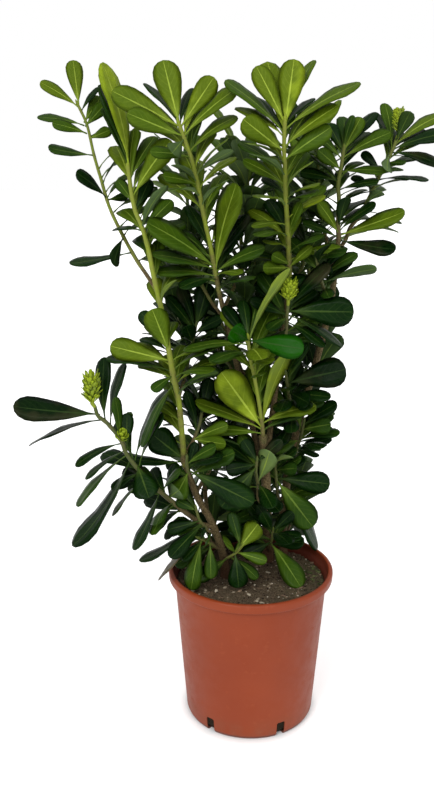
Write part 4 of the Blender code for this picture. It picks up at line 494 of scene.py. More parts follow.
        [spray(6, 0.76, 0.985, 7.5, (60, 26), 0.6, 0.4), spray(6, 0.2, 0.68, 6.5, (74, 54), 1.0, 0.6)]),
    "heart_rear_shoot": shoot("heart_branch", (232, 345), (5.0, 3.6), 0.75,
        [(241, 315, -0.5), (250, 285, 1.6), (256, 262, 3)],
        [spray(9, 0.28, 0.97, 6.8, (76, 34), 0.8, 0.7)]),
    "heart_left_shoot": shoot("heart_branch", (226, 322), (5.0, 3.6), 0.7,
        [(209, 298, -1.5), (196, 272, -0.5), (189, 246, 0.4)],
        [spray(9, 0.28, 0.97, 6.8, (76, 34), 1.9, 0.68)]),
    "middle_dark_shoot": shoot("middle_branch", (284, 335), (5.0, 3.6), 0.8,
        [(271, 314, 3), (263, 292, 5), (258, 270, 6)],
        [spray(9, 0.28, 0.97, 6.8, (76, 34), 2.6, 0.76)]),
    "trunk_left_shoot": shoot("heart_branch", (253, 430), (5.0, 3.6), 0.95,
        [(243, 414, 3.6), (234, 396, 5.2), (227, 378, 6.2)],
        [spray(9, 0.28, 0.97, 6.8, (76, 34), 0.4, 0.95)]),
    "trunk_right_shoot": shoot("right_trunk", (308, 392), (5.0, 3.6), 0.95,
        [(315, 372, 7), (320, 350, 9), (323, 330, 10)],
        [spray(9, 0.28, 0.97, 6.8, (76, 34), 1.4, 0.95)]),
    "right_waist_shoot": shoot("right_trunk", (330, 308), (5.0, 3.6), 0.95,
        [(324, 290, -1.4), (319, 272, -3.4), (316, 254, -4.6)],
        [spray(6, 0.45, 0.97, 6.2, (74, 32), 0.1, 0.74)],
        [leaf((330, 265), (319, 276), 15, -3, 0.95), leaf((377, 268), (322, 284), 9, -1, 0.6, face="under"),
         leaf((298, 284), (321, 282), 13, -2.5, 0.95)]),
    "rear_foot_shoot": shoot("centre_trunk", (268, 548), (4.6, 3.4), 0.95,
        [(262, 532, 9.5), (256, 514, 12), (250, 496, 14)],
        [spray(8, 0.25, 0.97, 6.0, (78, 40), 1.0, 0.95)]),
    "left_rear_shoot": shoot("left_trunk", (222, 552), (4.6, 3.4), 0.95,
        [(209, 536, 3), (198, 514, 6), (190, 492, 8)],
        [spray(8, 0.25, 0.97, 6.2, (78, 38), 2.0, 0.95)]),
    "right_rear_shoot": shoot("right_trunk", (284, 540), (4.6, 3.4), 0.95,
        [(292, 520, 12), (298, 496, 14.4), (300, 470, 16)],
        [spray(8, 0.25, 0.97, 6.2, (78, 38), 0.5, 0.95)]),
    "inner_low_shoot": shoot("left_trunk", (196, 492), (5.0, 3.8), 0.95,
        [(209, 472, 0), (219, 452, 2), (224, 425, 3), (226, 400, 3.6)],
        [spray(8, 0.25, 0.97, 6.5, (76, 34), 1.4, 0.95)]),
}

# More leaves that the photograph shows, behind and between those of the plan
MORE_LEAVES = {
    "far_left_shoot": [leaf((110, 130), (87, 139), 10, 0.5, 0.42), leaf((105, 104), (86, 127), 12, 1, 0.5)],
    "left_tall_shoot": [leaf((101, 84), (126, 168), 16, 3, 0.72),
                        leaf((104, 108), (129, 178), 15, 2.5, 0.62)],
}

# The spiky heads of unopened growth at three shoot tips: the tip that carries each, where the head ends,
# as a pixel and its depth in cm, and its length and width in cm
BUD_HEADS = {
    "left_bud_head": dict(carrier="low_left_shoot", top=(91, 372, -9), long=5.0, wide=3.4),
    "right_bud_head": dict(carrier="far_right_shoot", top=(399, 112, 3), long=4.2, wide=2.3),
    "middle_bud_head": dict(carrier="middle_bud_shoot", top=(290, 280, -5.4), long=3.2, wide=3.0),
}

# The dense crown in the front view. Leaves set by rule stay inside it, as the open air round it is empty
CROWN_OUTLINE = [
    (96, 60), (104, 110), (112, 170), (118, 210), (140, 240), (150, 262), (156, 300), (140, 318),
    (140, 335), (108, 344), (104, 357), (160, 374), (158, 395), (142, 425), (133, 412), (120, 398),
    (112, 398), (118, 440), (100, 450), (76, 470), (80, 500), (110, 500), (130, 490), (160, 505),
    (140, 555), (168, 560), (160, 580), (190, 592), (245, 592), (300, 588), (290, 545), (315, 545),
    (316, 500), (330, 484), (300, 465), (318, 456), (340, 433), (336, 405), (331, 396), (346, 370),
    (325, 349), (352, 330), (354, 300), (335, 296), (338, 262), (375, 268), (352, 246), (395, 245),
    (405, 212), (378, 204), (388, 182), (434, 180), (434, 112), (395, 103), (372, 96), (360, 82),
    (338, 100), (316, 58), (256, 62), (240, 78), (226, 78), (213, 76), (163, 58), (130, 80)]


def in_crown(point):
    """Whether the photograph shows a point inside the dense crown."""
    px, py = shown(point)
    inside = False
    for (ax, ay), (bx, by) in zip(CROWN_OUTLINE, CROWN_OUTLINE[1:] + CROWN_OUTLINE[:1]):
        if (ay > py) != (by > py) and px < ax + (bx - ax) * (py - ay) / (by - ay):
            inside = not inside
    return inside


def mix(first, second, share):
    """A value between two others."""
    return first + (second - first) * share


def splayed(heading, azimuth, opening):
    """A direction at one angle round a heading and one from it, and the side that a blade there faces."""
    side = heading.cross(BACKWARD).normalized()
    around = side * math.cos(azimuth) + heading.cross(side) * math.sin(azimuth)
    axis = (heading * math.cos(opening) + around * math.sin(opening)).normalized()
    return axis, (heading - axis * heading.dot(axis)).normalized()


class Stem:
    """A tapered stem along sampled points, with the stubs of the stems that it carries."""

    def __init__(self, points, radii, age=None):
        self.points = points
        self.radii = radii
        self.age = age
        self.fine = None
        self.stubs = []
        self.leaves = []
        self.reach = [0.0]
        for here, there in zip(points, points[1:]):
            self.reach.append(self.reach[-1] + (there - here).length)
        self.length = self.reach[-1]

    def at(self, fraction):
        """The point, direction and radius at a fraction of the stem's length."""
        goal = fraction * self.length
        for i in range(len(self.points) - 1):
            if goal <= self.reach[i + 1] or i == len(self.points) - 2:
                share = (goal - self.reach[i]) / (self.reach[i + 1] - self.reach[i])
                step = self.points[i + 1] - self.points[i]
                return (self.points[i] + step * share, step.normalized(),
                        mix(self.radii[i], self.radii[i + 1], share))

    def nearest(self, pixel):
        """The fraction of the stem's length that the photograph shows nearest to a pixel."""
        tries = [k / PLACE_STEPS for k in range(PLACE_STEPS + 1)]
        return min(tries, key=lambda f: math.dist(shown(self.at(f)[0]), pixel))


def tapered(points, base_radius, tip_radius, age=None):
    """A stem that tapers evenly from one radius to another."""
    reach = Stem(points, points).reach
    return Stem(points, [mix(base_radius, tip_radius, part / reach[-1]) for part in reach], age)


def smooth_path(knots, heading, step):
    """Points at even steps along one smooth curve through the knots, starting in a heading."""
    tangents = [heading * (knots[1] - knots[0]).length]
    tangents += [(after - before) / 2 for before, after in zip(knots, knots[2:])]
    tangents.append(knots[-1] - knots[-2])
    fine = []
    for i in range(len(knots) - 1):
        for k in range(KNOT_STEPS):
            t = k / KNOT_STEPS
            fine.append(knots[i] * (2 * t ** 3 - 3 * t ** 2 + 1) + tangents[i] * (t ** 3 - 2 * t ** 2 + t)
                        + knots[i + 1] * (3 * t ** 2 - 2 * t ** 3) + tangents[i + 1] * (t ** 3 - t ** 2))
    fine.append(knots[-1])
    track = Stem(fine, [0.0] * len(fine))
    count = max(2, round(track.length / step))
    return [track.at(k / count)[0] for k in range(count + 1)]


def grow_stem(plan, stems):
    """A woody stem or the stem of a shoot, set on the stem that carries it or in the soil."""
    knots = [seen(*knot) for knot in plan["path"]]
    base_radius, tip_radius = (thick / 2 * MM for thick in plan["thick"])
    if plan["carrier"] is None:
        across, along = (value * CM for value in plan["foot"])
        foot = Vector((across, along, SOIL_TOP - HOLE_DEPTH + TOUCH))
        start = Vector((across, along, SOIL_TOP + LEAD))
        heading = Vector((0.0, 0.0, 1.0))
    else:
        carrier = stems[plan["carrier"]]
        if plan["at"] is None:
            socket, heading, _ = carrier.at(1.0)
            stub = 0.0
        else:
            socket, along, carrier_radius = carrier.at(carrier.nearest(plan["at"]))
            heading = (knots[0] - socket).normalized()
            fork = max(heading.angle(along), LEAST_FORK)
            sideways = (heading - along * heading.dot(along)).normalized()
            heading = along * math.cos(fork) + sideways * math.sin(fork)
            stub = (carrier_radius + BARK_GAP + base_radius * abs(math.cos(fork))) / math.sin(fork)
            stub = min(stub, LONGEST_STUB)
            carrier.stubs.append((socket, socket + heading * stub, base_radius))
        foot = socket + heading * (stub + TOUCH)
        start = foot + heading * LEAD
    if (knots[0] - start).length < 2 * LEAD or (knots[0] - start).dot(heading) < 0:
        knots = knots[1:]
    paths = [[foot] + smooth_path([start] + knots, heading, step) for step in (STEM_STEP, FINE_STEP)]
    stem, stem.fine = [tapered(path, base_radius, tip_radius, plan.get("age")) for path in paths]
    return stem


def outline(along):
    """The half width of a blade at a share of its length, as a part of its greatest half width."""
    along = max(along, 0.0)
    return along ** OUTLINE_POWER * math.sqrt(max(1.0 - along ** 3, 0.0)) / OUTLINE_PEAK


class Leaf:
    """One leaf: a curved midrib from root to tip, and the side that its upper face looks to."""

    def __init__(self, root, tip, normal, width, arch, age, rows=RULE_ROWS, drawn=False, sag=0.0):
        self.root = root
        self.tip = tip
        self.normal = normal
        self.width = width
        self.age = age
        self.rows = rows
        self.drawn = drawn
        self.bend = (root + tip) / 2 + normal * (arch * (tip - root).length)
        self.fine_bend = self.bend + normal * ((MORE_ARCH - sag) * (tip - root).length)

    def frame(self, t):
        """The midrib's point at a share of the length, the blade's side and upward directions, its half."""
        middle = self.root * (1 - t) ** 2 + self.bend * (2 * t * (1 - t)) + self.tip * t ** 2
        forward = ((self.bend - self.root) * (1 - t) + (self.tip - self.bend) * t).normalized()
        side = forward.cross(self.normal).normalized()
        blade = outline((t - BLADE_STARTS) / (1 - BLADE_STARTS)) * self.width / 2
        return middle, side, side.cross(forward), max(blade, PETIOLE / 2)

    def last_corners(self):
        """The tip, and the two edge points next to it, as the solid has them."""
        middle, side, up, half = self.frame(self.rows[-1])
        top = middle + up * (RIB / 2)
        return self.tip, top - side * half, top + side * half

    def guard(self, petiole=True):
        """A plain sleeve round the leaf, a clearance wider on all sides, with its petiole or without."""
        points = []
        for t in ([0.0] if petiole else []) + list(self.rows) + [1.0]:
            middle, side, up, half = self.frame(t)
            if t == 1.0:
                middle = middle + (self.tip - self.bend).normalized() * CLEARANCE
            across = side * (half + CLEARANCE)
            above = up * (RIB / 2 + CLEARANCE)
            points += [middle - across + above, middle + across + above,
                       middle + across - above, middle - across - above]
        faces = [(0, 1, 2, 3), tuple(len(points) - k for k in (1, 2, 3, 4))]
        for near in range(0, len(points) - 4, 4):
            for k in range(4):
                after = (k + 1) % 4
                faces.append((near + k, near + 4 + k, near + 4 + after, near + after))
        return points, faces


class PackedModel:
    """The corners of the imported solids, to find out whether a leaf of the plan is among them."""

    def __init__(self):
        self.corners = {}
        for name, thing in frame["nodes"].items():
            tree = KDTree(len(thing.data.vertices))
            for vertex in thing.data.vertices:
                tree.insert(vertex.co, vertex.index)
            tree.balance()
            self.corners[name] = tree

    def has(self, owner, trial):
        return all(self.corners[owner].find(point)[2] < SAME_POINT for point in trial.last_corners())


class Space:
    """What stands in the plant, so that a leaf for a gap can be kept clear of it."""

    def __init__(self):
        self.solids = []
        for name, thing in frame["nodes"].items():
            body = BVHTree.FromPolygons([vertex.co for vertex in thing.data.vertices],
                                        [tuple(polygon.vertices) for polygon in thing.data.polygons])
            self.solids.append((name, body, body))

    def take(self, owner, trial):
        """Whether a leaf misses everything that it has to miss. If it does, it stands there from now on."""
        whole, blade = (BVHTree.FromPolygons(*trial.guard(petiole)) for petiole in (True, False))
        for other, other_whole, other_blade in self.solids:
            if blade.overlap(other_blade) if other == owner else whole.overlap(other_whole):
                return False
        self.solids.append((owner, whole, blade))
        return True


class View:
    """What the photograph shows plainly, so that no leaf for a gap comes before it."""

    def __init__(self, stems):
        points, faces = [], []
        for grown in (grown for stem in stems.values() for grown in stem.leaves if grown.drawn):
            some, sides = grown.guard()
            faces += [tuple(len(points) + k for k in side) for side in sides]
            points += [tuple(point) for point in some]
        for name in BARE_STEMS:
            first = len(points)
            for point, radius in zip(stems[name].points, stems[name].radii):
                points += [(point.x - radius, point.y, point.z), (point.x + radius, point.y, point.z)]
            faces += [(k, k + 1, k + 3, k + 2) for k in range(first, len(points) - 2, 2)]
        self.tree = BVHTree.FromPolygons(points, faces)

    def blocked(self, trial):
        """Whether a leaf would stand before something that the photograph shows."""
        for t in VIEW_ROWS:
            middle, side, _, half = trial.frame(t)
            for point in (middle, middle + side * half, middle - side * half):
                if self.tree.ray_cast(point, (point - EYE).normalized())[0] is not None:
                    return True
        return False


def facing_normal(axis, root, turn, face):
    """The side that a blade's upper face looks to, when the view sees it turned away by an angle."""
    to_eye = (EYE - root).normalized()
    facing = (to_eye - axis * to_eye.dot(axis)).normalized()
    sideways = axis.cross(facing)
    if sideways.z < 0:
        sideways = -sideways
    if face == "under":
        facing = -facing
    return facing * math.cos(turn) + sideways * math.sin(turn)


def drawn_leaf(stem, plan, push, roll, scale):
    """A leaf read from the photograph, pushed in depth, rolled about its midrib and scaled."""
    margin = LEAF_MARGIN / stem.length
    fraction = min(max(stem.nearest(plan["root"]), margin), 1.0 - margin)
    root = stem.at(fraction)[0]
    depth = root.y / CM
    flat = seen(*plan["tip"], depth) - root
    back = plan["back"]
    if back is None:
        spare = DRAWN_LENGTH ** 2 - flat.length ** 2
        back = math.copysign(math.sqrt(max(spare, 0.0)) / CM, flat.z)
    tip = seen(*plan["tip"], depth + back + push)
    tip = root + (tip - root) * scale
    axis = (tip - root).normalized()
    across = plan["wide"] * (tip - EYE).length / VIEW_FOCAL
    width = max(SLENDER * (tip - root).length, across)
    turn = math.acos(min(across / width, 1.0)) + roll
    rows = WIDE_ROWS if width > WIDE_FROM else RULE_ROWS
    return Leaf(root, tip, facing_normal(axis, root, turn, plan["face"]), width, plan["arch"], plan["age"],
                rows, True, plan["sag"])


def rule_leaf(stem, fraction, azimuth, opening, length, age):
    """A leaf set on a stem by its angle round it and its angle from it."""
    root, along, _ = stem.at(fraction)
    axis, normal = splayed(along, azimuth, opening)
    arch = RULE_ARCH + OPEN_ARCH * math.sin(opening)
    return Leaf(root, root + axis * length, normal, length * RULE_SLENDER, arch, age)


def keep_drawn(stem, plan, test):
    """Give a stem a leaf read from the photograph, in the first of its places that passes a test."""
    moves = itertools.product(DRAWN_SCALES, DRAWN_PUSHES, DRAWN_ROLLS)
    trials = (drawn_leaf(stem, plan, push, roll, scale) for scale, push, roll in moves)
    stem.leaves += itertools.islice(filter(test, trials), 1)


def keep_ruled(stem, test, fraction, azimuth, opening, length, age):
    """Give a stem a leaf set by rule, in the first of its places that passes a test."""
    age = min(max(age, 0.0), 1.0)
    moves = itertools.product(RULE_SCALES, RULE_TILTS, RULE_SWINGS)
    trials = (rule_leaf(stem, fraction, azimuth + swing, opening + tilt, length * scale, age)
              for scale, tilt, swing in moves)
    stem.leaves += itertools.islice(filter(test, trials), 1)


def grow_plan(stems, model):
    """The leaves of the plan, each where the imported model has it."""
    draw = random.Random(SEED)
    for name, plan in SHOOTS.items():
        for drawn in plan["leaves"]:
            keep_drawn(stems[name], drawn, partial(model.has, name))
    for name, plan in SHOOTS.items():
        for rule in plan["sprays"]:
            for k in range(rule["count"]):
                share = k / max(rule["count"] - 1, 1)
                fraction = mix(rule["start"], rule["end"], share)
                azimuth = rule["turn"] + k * GOLDEN_ANGLE + draw.uniform(*SPRAY_TURNS)
                opening = math.radians(mix(*rule["opens"], share) + draw.uniform(*SPRAY_SWAYS))
                length = rule["long"] * CM * draw.uniform(*SPRAY_SIZES)
                age = rule["age"] + draw.uniform(*SPRAY_AGES)
                keep_ruled(stems[name], partial(model.has, name), fraction, azimuth, opening, length, age)


def fill_gaps(stems, space, view):
    """More leaves along each shoot, where they are clear, inside the crown and behind what shows plainly."""
    draw = random.Random(GAP_SEED)
    for name in SHOOTS:
        stem = stems[name]
        count = round(stem.length / GAP_STEP)

        def clear(trial):
            return (in_crown(trial.tip) and in_crown(trial.bend) and not view.blocked(trial)
                    and space.take(name, trial))

        for k in range(count):
            fraction = mix(*GAP_SPAN, (k + draw.random()) / count)
            azimuth = k * GOLDEN_ANGLE + draw.uniform(*GAP_TURNS)
            opening = math.radians(mix(*GAP_OPENS, fraction) + draw.uniform(*GAP_SWAYS))
            length = draw.uniform(*GAP_LENGTHS) * CM
            age = mix(GAP_AGE, stem.age, GAP_LIKE_SHOOT) + draw.uniform(*GAP_AGES)
            keep_ruled(stem, clear, fraction, azimuth, opening, length, age)


def open_side_bud(stem):
    """A cluster of young leaves that are just opening, at the node of a stem that a pixel shows."""
    root, _, radius = stem.at(stem.nearest(SIDE_BUD_PIXEL))
    for k in range(SIDE_BUD_COUNT):
        share = k / (SIDE_BUD_COUNT - 1)
        opening = math.radians(mix(*SIDE_BUD_OPENS, share))
        axis, normal = splayed(SIDE_BUD_HEADING, k * GOLDEN_ANGLE, opening)
        start = root + SIDE_BUD_HEADING * (radius * 0.5 + SIDE_BUD_HEIGHT * share)
        tip = start + axis * mix(*SIDE_BUD_LENGTHS, share)
        stem.leaves.append(Leaf(start, tip, normal, SIDE_BUD_WIDTH, SIDE_BUD_ARCH, SIDE_BUD_AGE))


class Value:
    """What comes out of a node, with plain arithmetic on it, which adds the nodes for it."""

    def __init__(self, graph, socket):
        self.graph = graph
        self.socket = socket

    def __add__(self, other):
        return self.graph.work('ADD', self, other)

    def __sub__(self, other):
        return self.graph.work('SUBTRACT', self, other)

    def __rsub__(self, other):
        return self.graph.work('SUBTRACT', other, self)

    def __mul__(self, other):
        return self.graph.work('MULTIPLY', self, other)

    def __truediv__(self, other):
        return self.graph.work('DIVIDE', self, other)

    def __pow__(self, power):
        return self.graph.work('POWER', self, power)

    def __gt__(self, other):
        return self.graph.work('GREATER_THAN', self, other)

    def __lt__(self, other):
        return self.graph.work('LESS_THAN', self, other)

    def __abs__(self):
        return self.graph.work('ABSOLUTE', self)


class Graph:
    """A tree of nodes, with short ways to add to it. What goes into a node is a Value or a plain number."""

    def __init__(self, tree):
        self.tree = tree

    @classmethod
    def group(cls, name, kind, inputs, outputs):
        """A new node group. Each input is a name, a socket type and a default; an output has no default."""
        graph = cls(bpy.data.node_groups.new(name, kind))
        for label, socket, default in inputs:
            made = graph.tree.interface.new_socket(label, in_out='INPUT', socket_type="NodeSocket" + socket)
            if default is not None:
                made.default_value = default
        for label, socket in outputs:
            graph.tree.interface.new_socket(label, in_out='OUTPUT', socket_type="NodeSocket" + socket)
        graph.given = graph.values(graph.tree.nodes.new("NodeGroupInput"))
        graph.wanted = graph.tree.nodes.new("NodeGroupOutput").inputs
        return graph

    @classmethod
    def material(cls, name, **values):
        """A new material. Further values go straight to the sockets of its Principled BSDF."""
        material = bpy.data.materials.new(name)
        material.use_nodes = True
        graph = cls(material.node_tree)
        graph.made = material
        graph.surface = material.node_tree.nodes["Principled BSDF"].inputs
        for label, value in values.items():
            graph.surface[label.replace("_", " ")].default_value = value
        return graph

    def give(self, **values):
        """The finished group, which puts out these values."""
        for label, value in values.items():
            self.put(self.wanted[label], value)
        return self.tree

    def finish(self, colour, roughness, height, strength, distance):
        """The finished material, with its colour, its roughness and the height and strength of its bumps."""
        bump = self.out("ShaderNodeBump", {"Height": height, "Strength": strength, "Distance": distance})
        for label, value in (("Base Color", colour), ("Roughness", roughness), ("Normal", bump)):
            self.put(self.surface[label], value)
        return self.made

    def values(self, node):
        return {socket.name: Value(self, socket) for socket in node.outputs}

    def put(self, socket, value):
        if isinstance(value, Value):
            self.tree.links.new(value.socket, socket)
        elif value is not None:
            socket.default_value = value

    def add(self, kind, inputs=(), **settings):
        """A node. Its inputs are given in order, leaving out those that its settings hide, or by name."""
        node = self.tree.nodes.new(kind)
        for label, value in settings.items():
            setattr(node, label, value)
        sockets = [socket for socket in node.inputs if socket.enabled]
        if isinstance(inputs, dict):
            for label, value in inputs.items():
                self.put(next(socket for socket in sockets if socket.name == label), value)
        else:
            for socket, value in zip(sockets, inputs):
                self.put(socket, value)
        return node

    def out(self, kind, inputs=(), label=None, **settings):
        """The first output of a new node, or the one with a name."""
        outputs = [socket for socket in self.add(kind, inputs, **settings).outputs if socket.enabled]
        return Value(self, next(socket for socket in outputs if label in (None, socket.name)))

    def geo(self, kind, inputs=(), **settings):
        return self.out("GeometryNode" + kind, inputs, **settings)

    def work(self, operation, *values, clamp=False):
        """Arithmetic on numbers or on vectors. A vector is only ever multiplied by a number."""
        if not isinstance(values[0], Value) or values[0].socket.type != 'VECTOR':
            return self.out("ShaderNodeMath", values, operation=operation, use_clamp=clamp)
        if operation == 'MULTIPLY':
            operation, values = 'SCALE', dict(zip(("Vector", "Scale"), values))
        return self.out("ShaderNodeVectorMath", values, operation=operation)

    def between(self, value, low, high, first=0.0, last=1.0):
        """A smooth passage from a first value to a last one, as another value goes from low to high."""
        return self.out("ShaderNodeMapRange", (value, low, high, first, last),
                        interpolation_type='SMOOTHSTEP')

    def off_axis(self, x, y):
        """The distance from the axis."""
        return self.work('SQRT', x * x + y * y)

    def parts(self, vector):
        """The three parts of a vector."""
        return self.values(self.add("ShaderNodeSeparateXYZ", (vector,))).values()

    def joined(self, *values):
        return self.out("ShaderNodeCombineXYZ", values)

    def noise(self, vector, scale, detail=2.0, roughness=0.5):
        return self.out("ShaderNodeTexNoise", {"Vector": vector, "Scale": scale, "Detail": detail,
                                               "Roughness": roughness})

    def blend(self, share, first, second):
        """A mixture of two colours."""
        first, second = [(*value, 1.0) if isinstance(value, tuple) else value for value in (first, second)]
        return self.out("ShaderNodeMix", (share, first, second), data_type='RGBA')

    def ramp(self, share, *stops):
        """Colours at places along a share."""
        node = self.add("ShaderNodeValToRGB", (share,))
        elements = node.color_ramp.elements
        while len(elements) < len(stops):
            elements.new(0.5)
        for element, (place, colour) in zip(elements, stops):
            element.position = place
            element.color = (*colour, 1.0)
        return Value(self, node.outputs["Color"])

    def use(self, group, **inputs):
        """What a group gives for its inputs, by name."""
        return self.values(self.add("ShaderNodeGroup", inputs, node_tree=group))

    def patches(self, mottle, scale):
        """The masks of uneven tone, at a scale."""
        return self.use(mottle, Place=self.place(), Scale=scale)

    def attribute(self, name, label="Fac"):
        """A number or vector that the mesh carries, in a material."""
        return self.out("ShaderNodeAttribute", label=label, attribute_name=name)

    def place(self):
        """The place on the object, in a material."""
        return self.out("ShaderNodeTexCoord", label="Object")

    def read(self, name, kind='FLOAT'):
        """A number or vector that the mesh carries, in a tree of geometry nodes."""
        return self.geo("InputNamedAttribute", (name,), data_type=kind)

    def store(self, geometry, name, value, kind='FLOAT'):
        return self.geo("StoreNamedAttribute", {"Geometry": geometry, "Name": name, "Value": value},
                        data_type=kind, domain='POINT')

    def random(self, low, high, seed, kind='FLOAT'):
        return self.out("FunctionNodeRandomValue", {"Min": low, "Max": high, "Seed": seed}, data_type=kind)

    def join(self, *meshes):
        node = self.add("GeometryNodeJoinGeometry")
        for mesh in meshes:
            self.put(node.inputs[0], mesh)
        return Value(self, node.outputs[0])

    def coated(self, mesh, material):
        """A mesh with smooth shading and a material."""
        smooth = self.geo("SetShadeSmooth", (mesh,))
        return self.geo("SetMaterial", {"Geometry": smooth, "Material": material})


def grow_tree():
    """The tree of nodes that grows a plan into stems, along its edges, and leaves, from its loose points."""
    g = Graph.group("growth", "GeometryNodeTree", [
        ("Geometry", "Geometry", None), ("Stem Sides", "Int", STEM_SIDES),
        ("Blade Segments", "Int", BLADE_SEGMENTS), ("Drawn Rings", "Int", DRAWN_RINGS),
        ("Rule Rings", "Int", RULE_RINGS), ("Blade Thickness", "Float", BLADE_THICKNESS),
        ("Petiole", "Float", PETIOLE), ("Fold", "Float", 0.26), ("Curl", "Float", 0.2),
        ("Wave", "Float", 0.06), ("Twist", "Float", 0.22), ("Bark Relief", "Float", 0.1),
        ("Seed", "Int", 1), ("Stem Material", "Material", None), ("Leaf Material", "Material", None)],
        [("Geometry", "Geometry")])
    given = g.given

    # The stems: round tubes along the edges, as thick as each point says, and a little uneven
    rails = g.geo("MeshToCurve", (given["Geometry"],))
    ring = g.geo("CurvePrimitiveCircle", (given["Stem Sides"],), mode='RADIUS')
    g.put(ring.socket.node.inputs["Radius"], 1.0)
    tube = g.geo("CurveToMesh", (rails, ring, g.read("girth"), True))
    rough = g.noise(g.geo("InputPosition"), BARK_GRAIN, 3.0) - 0.5
    push = g.geo("InputNormal") * (rough * g.read("girth") * given["Bark Relief"])
    tube = g.coated(g.geo("SetPosition", {"Geometry": tube, "Offset": push}), given["Stem Material"])

    # The leaves: each starts as a ball, whose poles become the leaf's root and tip. The skins above and
    # below are cut into triangles along the same diagonals, so that a wavy blade never shows through itself
    x, y, z = g.parts(g.geo("InputPosition"))
    ring_size = g.off_axis(x, y)
    off_pole = ring_size > 0.001
    across = (1.0 - abs(g.work('ARCTAN2', y, x)) / (math.pi / 2)) * off_pole
    above = y / g.work('MAXIMUM', ring_size, 0.001) * off_pole
    place = g.joined(across, (1.0 - z) * 0.5, above)
    balls = []
    for label in ("Drawn Rings", "Rule Rings"):
        ball = g.geo("MeshUVSphere", (given["Blade Segments"], given[label], 1.0))
        ball = g.store(ball, "blade", place, 'FLOAT_VECTOR')
        ball = g.geo("Triangulate", (ball, y > 0.0), quad_method='FIXED')
        balls.append(g.geo("Triangulate", (ball, True), quad_method='FIXED_ALTERNATE'))

    points = g.store(given["Geometry"], "root", g.geo("InputPosition"), 'FLOAT_VECTOR')
    for k, (label, low) in enumerate((("tone", -1.0), ("phase", 0.0), ("slack", -1.0))):
        points = g.store(points, label, g.random(low, 1.0, given["Seed"] + k))
    is_leaf = g.read("leaf_width") > 0.0
    is_drawn = g.read("drawn")
    blades = g.join(*[
        g.geo("InstanceOnPoints", {"Points": points, "Selection": is_leaf * share, "Instance": ball})
        for ball, share in zip(balls, (is_drawn, 1.0 - is_drawn))])
    blades = g.geo("RealizeInstances", (blades,))

    # Each ball is laid along its midrib, with a fold, curled and wavy margins and a little twist
    root, bend, tip, facing = [g.read(label, 'FLOAT_VECTOR') for label in ("root", "bend", "tip", "facing")]
    across, along, above = g.parts(g.read("blade", 'FLOAT_VECTOR'))
    rest = 1.0 - along
    middle = root * (rest * rest) + bend * (rest * along * 2.0) + tip * (along * along)
    forward = g.work('NORMALIZE', (bend - root) * rest + (tip - bend) * along)
    side = g.work('NORMALIZE', g.work('CROSS_PRODUCT', forward, facing))
    up = g.work('CROSS_PRODUCT', side, forward)
    turn = g.read("slack") * given["Twist"] * (along - TWIST_FROM)
    cosine, sine = g.work('COSINE', turn), g.work('SINE', turn)
    side, up = side * cosine + up * sine, up * cosine - side * sine

    blade_along = g.work('DIVIDE', along - BLADE_STARTS, 1.0 - BLADE_STARTS, clamp=True)
    blunt = g.between(g.read("phase"), 0.0, 1.0, *TIP_POWERS)
    shrink = g.work('SUBTRACT', 1.0, blade_along ** blunt, clamp=True)
    shape = blade_along ** OUTLINE_POWER * g.work('SQRT', shrink) / OUTLINE_PEAK
    stalk = given["Petiole"] * 0.5
    half = g.work('MAXIMUM', shape * g.read("leaf_width") * 0.5, stalk)
    reach = abs(across)
    thick = g.between(along, *STALK_THINS, given["Petiole"], given["Blade Thickness"])
    wave = along * MARGIN_WAVES + g.read("phase") + across * WAVE_SKEW
    ripple = g.work('SINE', wave * (2 * math.pi)) * reach
    fold = (reach - 0.5) * given["Fold"]
    curl = reach ** 3.0 * given["Curl"]
    lift = above * thick * 0.5 + (half - stalk) * (fold - curl + ripple * given["Wave"])
    place = middle + side * (across * half) + up * lift
    blades = g.geo("SetPosition", {"Geometry": blades, "Position": place})
    for label in ("root", "bend", "tip", "facing", "slack", "girth", "drawn"):
        blades = g.geo("RemoveAttribute", {"Geometry": blades, "Name": label})
    return g.give(Geometry=g.join(g.coated(blades, given["Leaf Material"]), tube))


def through_nodes(thing, tree, **values):
    """Pass an object through a tree of geometry nodes, and make the result its plain mesh."""
    modifier = thing.modifiers.new("tree", 'NODES')
    modifier.node_group = tree
    for item in tree.interface.items_tree:
        label = item.name.replace(" ", "_")
        if item.in_out == 'INPUT' and label in values:
            modifier[item.identifier] = values[label]
    return made_plain(thing)


def made_plain(thing):
    """An object whose modifiers' result has become its plain mesh."""
    depsgraph = bpy.context.evaluated_depsgraph_get()
    result = bpy.data.meshes.new_from_object(thing.evaluated_get(depsgraph))
    thing.modifiers.clear()
    thing.data = result
    return thing


def placed(name, mesh):
    """An object at the origin for a mesh that is already in its place."""
    thing = bpy.data.objects.new(name, mesh)
    bpy.context.scene.collection.objects.link(thing)
    return thing


